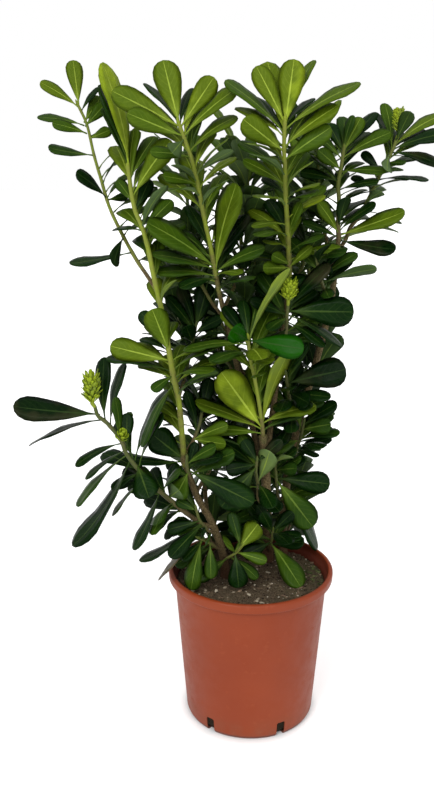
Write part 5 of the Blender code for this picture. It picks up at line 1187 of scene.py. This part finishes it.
def plan_mesh(name, rails, leaves):
    """A mesh for the growth tree: an edge for each step of a stem, and a loose point for each leaf."""
    points, edges, numbers, arrows = [], [], [], []
    for rail in rails:
        first = len(points)
        points += [tuple(point) for point in rail["points"]]
        edges += [(k, k + 1) for k in range(first, len(points) - 1)]
        numbers += [(*values, rail["age"], 0.0, 0.0)
                    for values in zip(rail["radii"], rail["woody"], rail["knots"])]
        arrows += [(0.0,) * 9] * len(rail["points"])
    for grown in leaves:
        points.append(tuple(grown.root))
        numbers.append((0.0, 0.0, 0.0, grown.age, grown.width, float(grown.drawn)))
        arrows.append((*grown.fine_bend, *grown.tip, *grown.normal))
    mesh = bpy.data.meshes.new(name)
    mesh.from_pydata(points, edges, [])
    numbers, arrows = np.array(numbers), np.array(arrows)
    for k, label in enumerate(("girth", "woody", "knot", "age", "leaf_width", "drawn")):
        mesh.attributes.new(label, 'FLOAT', 'POINT').data.foreach_set("value", numbers[:, k].copy())
    for k, label in enumerate(("bend", "tip", "facing")):
        vectors = arrows[:, 3 * k:3 * k + 3].ravel()
        mesh.attributes.new(label, 'FLOAT_VECTOR', 'POINT').data.foreach_set("vector", vectors)
    return mesh


def mottle_group():
    """Uneven tone for anything grown, moulded or crumbled: a broad and a fine mask from 0 to 1."""
    g = Graph.group("mottle", "ShaderNodeTree", [("Place", "Vector", None), ("Scale", "Float", 40.0)],
                    [("Broad", "Float"), ("Fine", "Float")])
    place, scale = g.given["Place"], g.given["Scale"]
    broad = g.noise(place, scale)
    fine = g.noise(place, scale * 6.3, 4.0, 0.6)
    return g.give(Broad=g.between(broad, 0.3, 0.7), Fine=g.between(fine, 0.32, 0.68))


def vein_group():
    """The veins of a blade: masks of its midrib and of its side veins, and the relief of both."""
    g = Graph.group("veins", "ShaderNodeTree",
                    [("Blade", "Vector", None), ("Side Veins", "Float", 9.0), ("Slope", "Float", 0.3)],
                    [("Midrib", "Float"), ("Side", "Float"), ("Relief", "Float")])
    across, along, _ = g.parts(g.given["Blade"])
    reach = abs(across)
    midrib = g.between(reach / g.between(along, 0.1, 1.0, 0.14, 0.03), 0.6, 1.0, 1.0, 0.0)
    run = (along - reach ** 1.4 * g.given["Slope"]) * g.given["Side Veins"]
    side = g.between(abs(g.work('FRACT', run) - 0.5), 0.0, 0.10, 1.0, 0.0)
    side = side * g.between(reach, 0.7, 0.95, 1.0, 0.0) * g.between(along, 0.12, 0.25)
    return g.give(Midrib=midrib, Side=side, Relief=g.work('MAXIMUM', midrib, side * 0.4))


def leaf_material(veins, mottle):
    """Thick glossy leaves, from yellow-green to almost black-green, paler beneath and along the midrib."""
    g = Graph.material("glossy_leaf", Specular_IOR_Level=0.30, IOR=1.2)
    blade = g.attribute("blade", "Vector")
    _, along, above = g.parts(blade)
    age = g.attribute("age")
    patches = g.patches(mottle, 28.0)
    vein = g.use(veins, Blade=blade)
    shade = (age + (patches["Broad"] - 0.5) * 0.10 + g.attribute("tone") * 0.08) * 0.625
    colour = g.ramp(shade, (0.0, (0.260, 0.350, 0.014)), (0.07, (0.098, 0.146, 0.005)),
                    (0.17, (0.068, 0.114, 0.004)), (0.29, (0.040, 0.082, 0.003)),
                    (0.41, (0.020, 0.051, 0.004)), (0.52, (0.004, 0.019, 0.002)),
                    (0.62, (0.001, 0.008, 0.001)), (0.84, (0.110, 0.085, 0.045)),
                    (0.93, (0.006, 0.064, 0.0)))
    pale = g.ramp(shade, (0.0, (0.42, 0.52, 0.06)), (0.30, (0.20, 0.30, 0.04)),
                  (0.60, (0.035, 0.070, 0.016)))
    colour = g.blend(vein["Midrib"] * g.between(age, 0.3, 0.9, 0.72, 0.50), colour, pale)
    colour = g.blend(g.between(along, 0.10, 0.45, 1.0, 0.0) * 0.45, colour, pale)
    colour = g.blend(vein["Side"] * 0.13, colour, pale)
    colour = g.blend(patches["Fine"] * 0.14, colour, (0.010, 0.028, 0.003))
    beneath = g.ramp(shade, (0.0, (0.260, 0.340, 0.018)), (0.10, (0.150, 0.215, 0.045)),
                     (0.25, (0.095, 0.150, 0.055)), (0.42, (0.034, 0.068, 0.014)),
                     (0.60, (0.005, 0.017, 0.003)))
    beneath = g.blend(vein["Midrib"] * 0.6, beneath, pale)
    under = g.between(above, -0.04, 0.04, 1.0, 0.0)
    roughness = g.between(age, 0.1, 0.9, 0.44, 0.26) + patches["Fine"] * 0.10 + under * 0.25
    height = vein["Relief"] * 0.6 + patches["Fine"] * 0.25
    return g.finish(g.blend(under, colour, beneath), roughness, height, 0.5, 0.4 * MM)


def stem_material(mottle):
    """Green shoots that turn to grey-brown wood, with paler scars where leaves have stood."""
    g = Graph.material("stem", Specular_IOR_Level=0.12)
    patches = g.patches(mottle, 70.0)
    woody = g.attribute("woody") + (patches["Broad"] - 0.5) * 0.25
    green = g.ramp(g.attribute("age"), (0.0, (0.225, 0.280, 0.024)), (0.5, (0.135, 0.175, 0.025)),
                   (1.0, (0.055, 0.072, 0.022)))
    bark = g.blend(patches["Fine"], (0.062, 0.045, 0.020), (0.165, 0.122, 0.056))
    _, _, z = g.parts(g.place())
    low = g.between(z, SOIL_TOP, SOIL_TOP + 60 * MM, 1.0, 0.0)
    bark = g.blend(low * 0.7, bark, (0.085, 0.032, 0.020))
    colour = g.blend(g.between(woody, 0.25, 0.75), green, bark)
    colour = g.blend(g.attribute("knot") * 0.35, colour, (0.16, 0.13, 0.06))
    height = patches["Fine"] * g.between(woody, 0.2, 0.9, 0.2, 1.0)
    return g.finish(colour, g.between(woody, 0.2, 0.8, 0.5, 0.85), height, 0.7, 1.0 * MM)


def pot_material(mottle):
    """Terracotta-coloured moulded plastic, a little scuffed, with a dusty foot and painted shade on its
    inner wall.
    """
    g = Graph.material("terracotta_plastic", Specular_IOR_Level=0.25)
    patches, specks = g.patches(mottle, 9.0), g.patches(mottle, 120.0)
    x, y, z = g.parts(g.place())
    colour = g.blend(patches["Broad"], (0.208, 0.031, 0.006), (0.230, 0.037, 0.008))
    wall = (z * ((SHOULDER_RADIUS - BASE_RADIUS) / SKIRT_FOOT) + BASE_RADIUS
            + g.between(z, SKIRT_FOOT - 1 * MM, SKIRT_FOOT + 1 * MM, 0.0, 3 * MM))
    # Painted shade: the inner side of the wall and of the rim's mouth is darkened towards a dark maroon
    inside = g.between(g.off_axis(x, y) - wall, -0.9 * WALL, -0.2 * WALL, 1.0, 0.0)
    colour = g.blend(inside * 0.8, colour, (0.085, 0.020, 0.013))
    foot = g.between(z, 2 * MM, 45 * MM, 1.0, 0.0)
    colour = g.blend(foot * patches["Fine"] * 0.35, colour, (0.16, 0.07, 0.04))
    scuff = g.between(specks["Broad"], 0.82, 0.98) * g.between(patches["Fine"], 0.4, 0.8)
    colour = g.blend(scuff * 0.06, colour, (0.50, 0.20, 0.12))
    roughness = patches["Fine"] * 0.12 + 0.44 + scuff * 0.15
    return g.finish(colour, roughness, specks["Fine"] + patches["Broad"] * 0.5, 0.12, 0.3 * MM)


def earth_material(mottle):
    """Dark potting mix of peat and bark, with paler fibres, a green film where it stays damp, and painted
    shade low down.
    """
    g = Graph.material("potting_soil", Specular_IOR_Level=0.1)
    crumbs, patches = g.patches(mottle, 160.0), g.patches(mottle, 22.0)
    x, y, z = g.parts(g.place())
    colour = g.blend(crumbs["Fine"], (0.040, 0.027, 0.014), (0.270, 0.205, 0.125))
    colour = g.blend(patches["Broad"] * 0.4, colour, (0.090, 0.060, 0.045))
    damp = g.between(x - y * 0.35, 0.040, 0.085) * patches["Fine"]
    colour = g.blend(damp * 0.5, colour, (0.055, 0.068, 0.022))
    # Painted shade: the soil turns almost black below about 120 mm, where the drainage slots show it
    colour = g.blend(g.between(z, 30 * MM, 120 * MM, 0.8, 0.0), colour, (0.012, 0.008, 0.005))
    return g.finish(colour, 0.95, crumbs["Fine"] + crumbs["Broad"], 1.0, 2.0 * MM)


def crumb_material(name, dark, light, mottle):
    """What lies on the soil, each piece in its own tone between a dark and a light one."""
    g = Graph.material(name, Specular_IOR_Level=0.15)
    crumbs = g.patches(mottle, 300.0)
    colour = g.blend(g.between(g.attribute("tone"), -1.0, 1.0), dark, light)
    return g.finish(g.blend(crumbs["Fine"] * 0.4, colour, dark), 0.9, crumbs["Fine"], 0.6, 0.5 * MM)


def turned_tree():
    """The tree of nodes that turns a profile of radius and height about Z into a closed skin."""
    g = Graph.group("turned", "GeometryNodeTree",
                    [("Geometry", "Geometry", None), ("Profile Points", "Int", 10), ("Steps", "Int", 96),
                     ("Weld", "Float", 0.01 * MM), ("Material", "Material", None)],
                    [("Geometry", "Geometry")])
    given = g.given
    columns = given["Steps"] + 1.0
    sheet = g.geo("MeshGrid", (1.0, 1.0, given["Profile Points"], columns))
    index = g.geo("InputIndex")
    angle = g.work('MODULO', index, columns) / given["Steps"] * (2 * math.pi)
    corner = g.geo("SampleIndex", {"Geometry": given["Geometry"], "Value": g.geo("InputPosition"),
                                   "Index": g.work('FLOOR', index / columns)},
                   data_type='FLOAT_VECTOR', domain='POINT')
    radius, _, height = g.parts(corner)
    place = g.joined(radius * g.work('COSINE', angle), radius * g.work('SINE', angle), height)
    skin = g.geo("SetPosition", {"Geometry": sheet, "Position": place})
    skin = g.geo("MergeByDistance", {"Geometry": skin, "Distance": given["Weld"]})
    return g.give(Geometry=g.coated(skin, given["Material"]))


def rounded(corners, steps=4):
    """A profile with rounded corners. Each corner is a radius, a height and how far its curve reaches."""
    profile = []
    for k, (radius, height, reach) in enumerate(corners):
        here = Vector((radius, 0.0, height))
        if reach == 0.0:
            profile.append(here)
            continue
        before, after = (Vector((corners[j][0], 0.0, corners[j][1])) for j in (k - 1, k + 1))
        start, end = (here + (other - here).normalized() * reach for other in (before, after))
        for step in range(steps + 1):
            t = step / steps
            profile.append(start * (1 - t) ** 2 + here * (2 * t * (1 - t)) + end * t ** 2)
    return profile


def turned(name, profile, steps, tree, material):
    """A profile turned about Z, with its ends on the axis, as an object."""
    mesh = bpy.data.meshes.new(name)
    mesh.from_pydata([tuple(point) for point in profile], [(k, k + 1) for k in range(len(profile) - 1)], [])
    thing = through_nodes(placed(name, mesh), tree, Profile_Points=len(profile), Steps=steps,
                          Material=material)
    shell = bmesh.new()
    shell.from_mesh(thing.data)
    bmesh.ops.recalc_face_normals(shell, faces=shell.faces)
    shell.to_mesh(thing.data)
    shell.free()
    return thing


def inner_radius(height):
    """The radius of the pot's inner wall at a height."""
    return mix(BASE_RADIUS, SHOULDER_RADIUS, (height - FLOOR) / (SKIRT_FOOT - FLOOR)) - WALL


def make_pot(tree, material):
    """The moulded pot: a tapered wall, a rolled rim, a rounded foot, and slots in it for drainage."""
    corners = [
        (0.0, FLOOR, 0.0), (inner_radius(FLOOR) - 4 * MM, FLOOR, 0.0),
        (inner_radius(FLOOR), FLOOR + 1 * MM, 2 * MM),
        (inner_radius(SKIRT_FOOT), SKIRT_FOOT, 2 * MM), (MOUTH_RADIUS, SKIRT_FOOT + 5 * MM, 2 * MM),
        (MOUTH_RADIUS + 0.4 * MM, POT_HEIGHT, 2.6 * MM), (RIM_RADIUS, POT_HEIGHT - 0.5 * MM, 4.2 * MM),
        (RIM_RADIUS - 1.0 * MM, SKIRT_FOOT, 2.2 * MM),
        (RIM_RADIUS - 4.2 * MM, SKIRT_FOOT - 0.4 * MM, 1.2 * MM),
        (SHOULDER_RADIUS + 0.9 * MM, SKIRT_FOOT - 0.2 * MM, 1.4 * MM),
        (SHOULDER_RADIUS, SKIRT_FOOT - 6 * MM, 1.5 * MM),
        (BASE_RADIUS + 0.2 * MM, 7 * MM, 2 * MM), (BASE_RADIUS - 3 * MM, 0.0, 3 * MM),
        (BASE_RADIUS - 12 * MM, 0.0, 0.0), (0.0, 0.0, 0.0)]
    pot = turned("nursery_pot", rounded(corners), POT_STEPS, tree, material)
    slots = bmesh.new()
    for azimuth in SLOT_AZIMUTHS:
        swing = Matrix.Rotation(math.radians(azimuth), 4, 'Z')
        size = Matrix.Diagonal((SLOT_WIDTH, SLOT_REACH, SLOT_HEIGHT + SLOT_BELOW, 1.0))
        place = Matrix.Translation((0.0, -BASE_RADIUS, (SLOT_HEIGHT - SLOT_BELOW) / 2))
        bmesh.ops.create_cube(slots, size=1.0, matrix=swing @ place @ size)
    bmesh.ops.bevel(slots, geom=slots.edges, offset=SLOT_EDGE, segments=2, affect='EDGES')
    mesh = bpy.data.meshes.new("slots")
    mesh.materials.append(material)
    slots.to_mesh(mesh)
    slots.free()
    cutter = placed("slots", mesh)
    bore = pot.modifiers.new("slots", 'BOOLEAN')
    bore.operation = 'DIFFERENCE'
    bore.object = cutter
    made_plain(pot)
    bpy.data.objects.remove(cutter)
    pot.data.set_sharp_from_angle(angle=SHARP_FROM)
    return pot


def soil_height(x, y):
    """The uneven surface of the soil, a little lower towards the wall."""
    waves = math.sin(61 * x + 0.6) * math.cos(53 * y - 0.8) + 0.5 * math.sin(127 * y + 83 * x)
    dish = (math.hypot(x, y) / RIM_RADIUS) ** 2
    return SOIL_TOP + SOIL_DIP * (0.45 * waves - 0.5 * dish)


def make_soil(tree, material):
    """The root ball, up to just under the rim, with a crumbly surface."""
    top = inner_radius(SOIL_TOP) - TOUCH
    low = inner_radius(FLOOR + SOIL_FOOT) - TOUCH
    profile = [Vector((top * k / SOIL_RINGS, 0.0, SOIL_TOP)) for k in range(SOIL_RINGS)]
    profile += [Vector((top, 0.0, SOIL_TOP - 2 * MM)), Vector((low, 0.0, FLOOR + SOIL_FOOT)),
                Vector((low - 5 * MM, 0.0, FLOOR + TOUCH)), Vector((0.0, 0.0, FLOOR + TOUCH))]
    soil = turned("potting_soil_ball", profile, SOIL_STEPS, tree, material)
    for vertex in soil.data.vertices:
        x, y, z = vertex.co
        if z > SOIL_TOP - 3 * MM:
            crumbs = noise.fractal(Vector((x, y, 0.0)) * 140, 0.7, 2.2, 4)
            vertex.co.z = soil_height(x, y) + CRUMB_HEIGHT * crumbs - (SOIL_TOP - z)
    return soil


def strewn_tree():
    """The tree of nodes that strews small pieces over the upper side of a mesh, and keeps only them."""
    g = Graph.group("strewn", "GeometryNodeTree", [
        ("Geometry", "Geometry", None), ("Density", "Float", 1000.0), ("Least Size", "Float", 1 * MM),
        ("Greatest Size", "Float", 3 * MM), ("Flatness", "Float", 0.5), ("Slimness", "Float", 0.6),
        ("Least Height", "Float", SOIL_TOP - 5 * MM), ("Patch X", "Float", 0.0), ("Patch Y", "Float", 0.0),
        ("Patch Radius", "Float", 1.0), ("Seed", "Int", 1), ("Material", "Material", None)],
        [("Geometry", "Geometry")])
    given, seed = g.given, g.given["Seed"]
    x, y, z = g.parts(g.geo("InputPosition"))
    near = g.off_axis(x - given["Patch X"], y - given["Patch Y"]) < given["Patch Radius"]
    _, _, level = g.parts(g.geo("InputNormal"))
    on_top = near * (z > given["Least Height"]) * (level > 0.5)
    points = g.geo("DistributePointsOnFaces", {
        "Mesh": given["Geometry"], "Selection": on_top, "Density": given["Density"], "Seed": seed},
        distribute_method='RANDOM')
    points = g.store(points, "tone", g.random(-1.0, 1.0, seed + 1.0))
    corner = g.geo("InputPosition")
    push = corner * ((g.noise(corner, 1.7, 1.0) - 0.5) * 1.4)
    crumb = g.geo("SetPosition", {"Geometry": g.geo("MeshIcoSphere", (1.0, 1)), "Offset": push})
    turn = g.random((-0.3, -0.3, 0.0), (0.3, 0.3, 2 * math.pi), seed + 2.0, 'FLOAT_VECTOR')
    size = g.between(g.random(0.0, 1.0, seed + 3.0) ** 2.0, 0.0, 1.0, given["Least Size"],
                     given["Greatest Size"])
    scale = g.joined(size, size * given["Slimness"], size * given["Flatness"])
    crumbs = g.geo("InstanceOnPoints", {"Points": points, "Instance": crumb, "Rotation": turn,
                                        "Scale": scale})
    crumbs = g.geo("RealizeInstances", (crumbs,))
    return g.give(Geometry=g.geo("SetMaterial", {"Geometry": crumbs, "Material": given["Material"]}))


def nearness(stem):
    """How near each fine point of a stem is to the root of one of its leaves, from 0 to 1."""
    shares = []
    for point in stem.fine.points:
        nearest = min(((point - grown.root).length for grown in stem.leaves), default=1.0)
        shares.append(math.exp(-(nearest / SCAR_REACH) ** 2))
    return shares


def rail(points, radii, woody, knots, age):
    """A line for the growth tree to make a stem along, with what each of its points carries."""
    return dict(points=points, radii=radii, woody=woody, knots=knots, age=age)


def stem_rails(stem, is_wood, has_tip):
    """The rails that a stem and its stubs are grown along."""
    fine = stem.fine
    knots = nearness(stem)
    points, radii = list(fine.points), list(fine.radii)
    count = len(points)
    age = WOOD_AGE if is_wood else stem.age
    if is_wood:
        woody = [mix(*TRUNK_WOODY, k / count) for k in range(count)]
    else:
        at_root = SHOOT_WOODY[0] + WOODY_WITH_AGE * age
        woody = [max(0.0, mix(at_root, SHOOT_WOODY[1], WOODY_PACE * k / count)) for k in range(count)]
    for k, point in enumerate(points):
        radii[k] *= 1.0 + SCAR_SWELL * knots[k]
        if is_wood:
            radii[k] *= 1.0 + ROOT_FLARE * math.exp(-max(point.z - SOIL_TOP, 0.0) / FLARE_REACH)
    along = (points[-1] - points[-2]).normalized()
    if has_tip:
        points += [fine.points[-1] + along * distance * MM for distance, _ in SHOOT_TIP]
        radii += [fine.radii[-1] * share for _, share in SHOOT_TIP]
    else:
        points.append(points[-1] + along * 2 * TOUCH)
        radii.append(radii[-1])
    spare = len(points) - count
    rails = [rail(points, radii, woody + [woody[-1]] * spare, knots + [0.0] * spare, age)]
    for socket, end, radius in stem.stubs:
        away = (end - socket).normalized()
        steps = [socket, socket + (end - socket) * 0.5, end - away * 1.5 * MM, end + away * 2 * TOUCH]
        rails.append(rail(steps, [radius * share for share in STUB_SHARES], [woody[0]] * 4, STUB_KNOTS, age))
    return rails


def bud_head_plan(plan, carrier):
    """The core of a bud head and its scales, each a narrow young leaf set by the golden angle."""
    start, along, radius = carrier.at(1.0)
    neck = start + along * LEAD
    heading = (seen(*plan["top"]) - neck).normalized()
    long, wide = (plan[label] * CM for label in ("long", "wide"))
    top = neck + heading * (long * BUD_CORE - LEAD)
    scales = []
    for shorter, count, turn, span, opens in BUD_RINGS:
        for k in range(count):
            share = (k + 0.5) / count
            axis, normal = splayed(heading, k * GOLDEN_ANGLE + turn, math.radians(mix(*opens, share)))
            root = mix(neck, top, mix(*span, share))
            length = wide * mix(*SCALE_LENGTHS, share) * shorter
            scales.append(Leaf(root, root + axis * length, normal, SCALE_WIDTH * shorter, SCALE_ARCH,
                               SCALE_AGE * (1.0 - shorter)))
    points = [start - along * TOUCH, neck, mix(neck, top, 0.6), top]
    radii = [radius * share for share in CORE_SHARES]
    return [rail(points, radii, [0.0] * 4, [0.0] * 4, SCALE_AGE)], scales


def finished(thing, slot, *nodes):
    """Tie a finished piece to the frame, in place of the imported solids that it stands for."""
    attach(thing, "root")
    if nodes:
        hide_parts(*nodes)


def grow_stems():
    """Every trunk and shoot, with the leaves of the plan and more in the gaps between them."""
    stems = {}
    for name, plan in {**WOOD, **SHOOTS}.items():
        stems[name] = grow_stem(plan, stems)
    grow_plan(stems, PackedModel())
    space = Space()
    for name, plans in MORE_LEAVES.items():
        for plan in plans:
            keep_drawn(stems[name], plan, partial(space.take, name))
    fill_gaps(stems, space, View(stems))
    open_side_bud(stems[SIDE_BUD_STEM])
    return stems


def build_plant(mottle):
    """The pieces of the plant: every trunk, shoot and bud head."""
    stems = grow_stems()
    tree = grow_tree()
    materials = dict(Stem_Material=stem_material(mottle), Leaf_Material=leaf_material(vein_group(), mottle))
    slots = {row["node"]: row["material_slot"] for row in frame["record"]["subparts"]}
    headed = {plan["carrier"] for plan in BUD_HEADS.values()}
    carried_on = {plan["carrier"] for plan in SHOOTS.values() if plan["at"] is None}
    for number, (name, stem) in enumerate(stems.items()):
        is_wood = name in WOOD
        has_tip = not is_wood and name not in headed and name not in carried_on
        rails = stem_rails(stem, is_wood, has_tip)
        thing = placed(name + "_grown", plan_mesh(name, rails, stem.leaves))
        through_nodes(thing, tree, Seed=SEED_STEP * number,
                      Bark_Relief=WOOD_RELIEF if is_wood else SHOOT_RELIEF, **materials)
        finished(thing, slots[name], name)
    for number, (name, plan) in enumerate(BUD_HEADS.items()):
        thing = placed(name + "_grown", plan_mesh(name, *bud_head_plan(plan, stems[plan["carrier"]])))
        through_nodes(thing, tree, Seed=BUD_SEED + SEED_STEP * number, Petiole=2.2 * MM,
                      Blade_Segments=6, Fold=0.5, Curl=0.0, Wave=0.0, **materials)
        finished(thing, slots[name], name)


def build_pot(mottle):
    """The pot, its soil, and what lies on the soil."""
    tree = turned_tree()
    finished(make_pot(tree, pot_material(mottle)), "terracotta_plastic", "pot")
    soil = make_soil(tree, earth_material(mottle))
    finished(soil, "potting_soil", "soil")
    strewn = strewn_tree()
    kinds = {
        "bark_crumbs": ((0.030, 0.019, 0.012), (0.200, 0.140, 0.085),
                        dict(Density=52000.0, Least_Size=0.7 * MM, Greatest_Size=2.6 * MM, Seed=3)),
        "bark_chips": ((0.060, 0.038, 0.024), (0.32, 0.22, 0.14),
                       dict(Density=2600.0, Least_Size=2.0 * MM, Greatest_Size=6.0 * MM, Flatness=0.3,
                            Slimness=0.5, Seed=11)),
        "pale_chips": ((0.30, 0.24, 0.16), (0.62, 0.55, 0.42),
                       dict(Density=5200.0, Least_Size=1.0 * MM, Greatest_Size=4.4 * MM, Flatness=0.4,
                            Slimness=0.55, Seed=23)),
        "moss_tufts": ((0.040, 0.052, 0.016), (0.130, 0.145, 0.055),
                       dict(Density=26000.0, Least_Size=1.0 * MM, Greatest_Size=3.0 * MM, Flatness=0.8,
                            Slimness=0.9, Patch_X=0.085, Patch_Y=0.012, Patch_Radius=0.032, Seed=31)),
    }
    for name, (dark, light, values) in kinds.items():
        thing = placed(name, soil.data.copy())
        through_nodes(thing, strewn, Material=crumb_material(name, dark, light, mottle), **values)
        finished(thing, "potting_soil")


def soft_light(name, source, power, spread, mirrored=True):
    """A wide soft light from one side, the same all over the floor, mirrored in glossy leaves or not."""
    light = bpy.data.lights.new(name, 'SUN')
    light.energy = power
    light.angle = math.radians(spread)
    thing = placed(name, light)
    thing.visible_glossy = mirrored
    thing.rotation_euler = Vector(source).to_track_quat('Z', 'Y').to_euler()


def build_stage():
    """A pale floor whose painted glow hides its cast shadows and fades out close round the pot's foot, a
    white room and soft studio light.
    """
    mesh = bpy.data.meshes.new("floor")
    mesh.from_pydata([(-8, -8, 0), (8, -8, 0), (8, 8, 0), (-8, 8, 0)], [], [(0, 1, 2, 3)])
    g = Graph.material("pale_floor", Roughness=0.8, Base_Color=(0.90, 0.90, 0.90, 1.0),
                       Emission_Color=(1.0, 1.0, 1.0, 1.0))
    to_eye = g.out("ShaderNodeLightPath", label="Is Camera Ray")
    x, y, _ = g.parts(g.place())
    fade, clear = (BASE_RADIUS + reach for reach in FOOT_SHADE)
    # Painted light: the floor glows, brighter towards the camera, so that shadows on it vanish, except close
    # round the pot's foot
    glow = g.between(to_eye, 0.0, 1.0, *FLOOR_GLOW) * g.between(g.off_axis(x, y), fade, clear)
    g.put(g.surface["Emission Strength"], glow)
    mesh.materials.append(g.made)
    placed("floor", mesh)
    world = bpy.data.worlds.new("studio")
    world.use_nodes = True
    g = Graph(world.node_tree)
    room = world.node_tree.nodes["Background"].inputs
    to_eye = g.out("ShaderNodeLightPath", label="Is Camera Ray")
    g.put(room["Strength"], g.between(to_eye, 0.0, 1.0, *ROOM_GLOW))
    room["Color"].default_value = (1.0, 1.0, 1.0, 1.0)
    bpy.context.scene.world = world
    bpy.context.scene.view_settings.view_transform = 'Standard'
    soft_light("key", (-0.50, -1.00, 0.80), 1.45, 26)
    soft_light("second", (0.40, -1.00, 0.70), 1.0, 40)
    soft_light("top", (0.0, -0.10, 1.0), 0.3, 70)
    soft_light("rear", (0.40, 1.00, 0.60), 0.7, 60, mirrored=False)


def place_camera():
    """The camera at the photograph's place, with its angle of view."""
    camera = bpy.data.cameras.new("camera")
    camera.sensor_width = SENSOR
    camera.lens = VIEW_FOCAL * SENSOR / max(VIEW_SIZE)
    thing = placed("camera", camera)
    thing.location = EYE
    thing.rotation_euler = (math.pi / 2 - EYE_DOWN, 0.0, EYE_LEFT)
    bpy.context.scene.camera = thing


place_camera()
build_stage()
mottle = mottle_group()
build_plant(mottle)
build_pot(mottle)
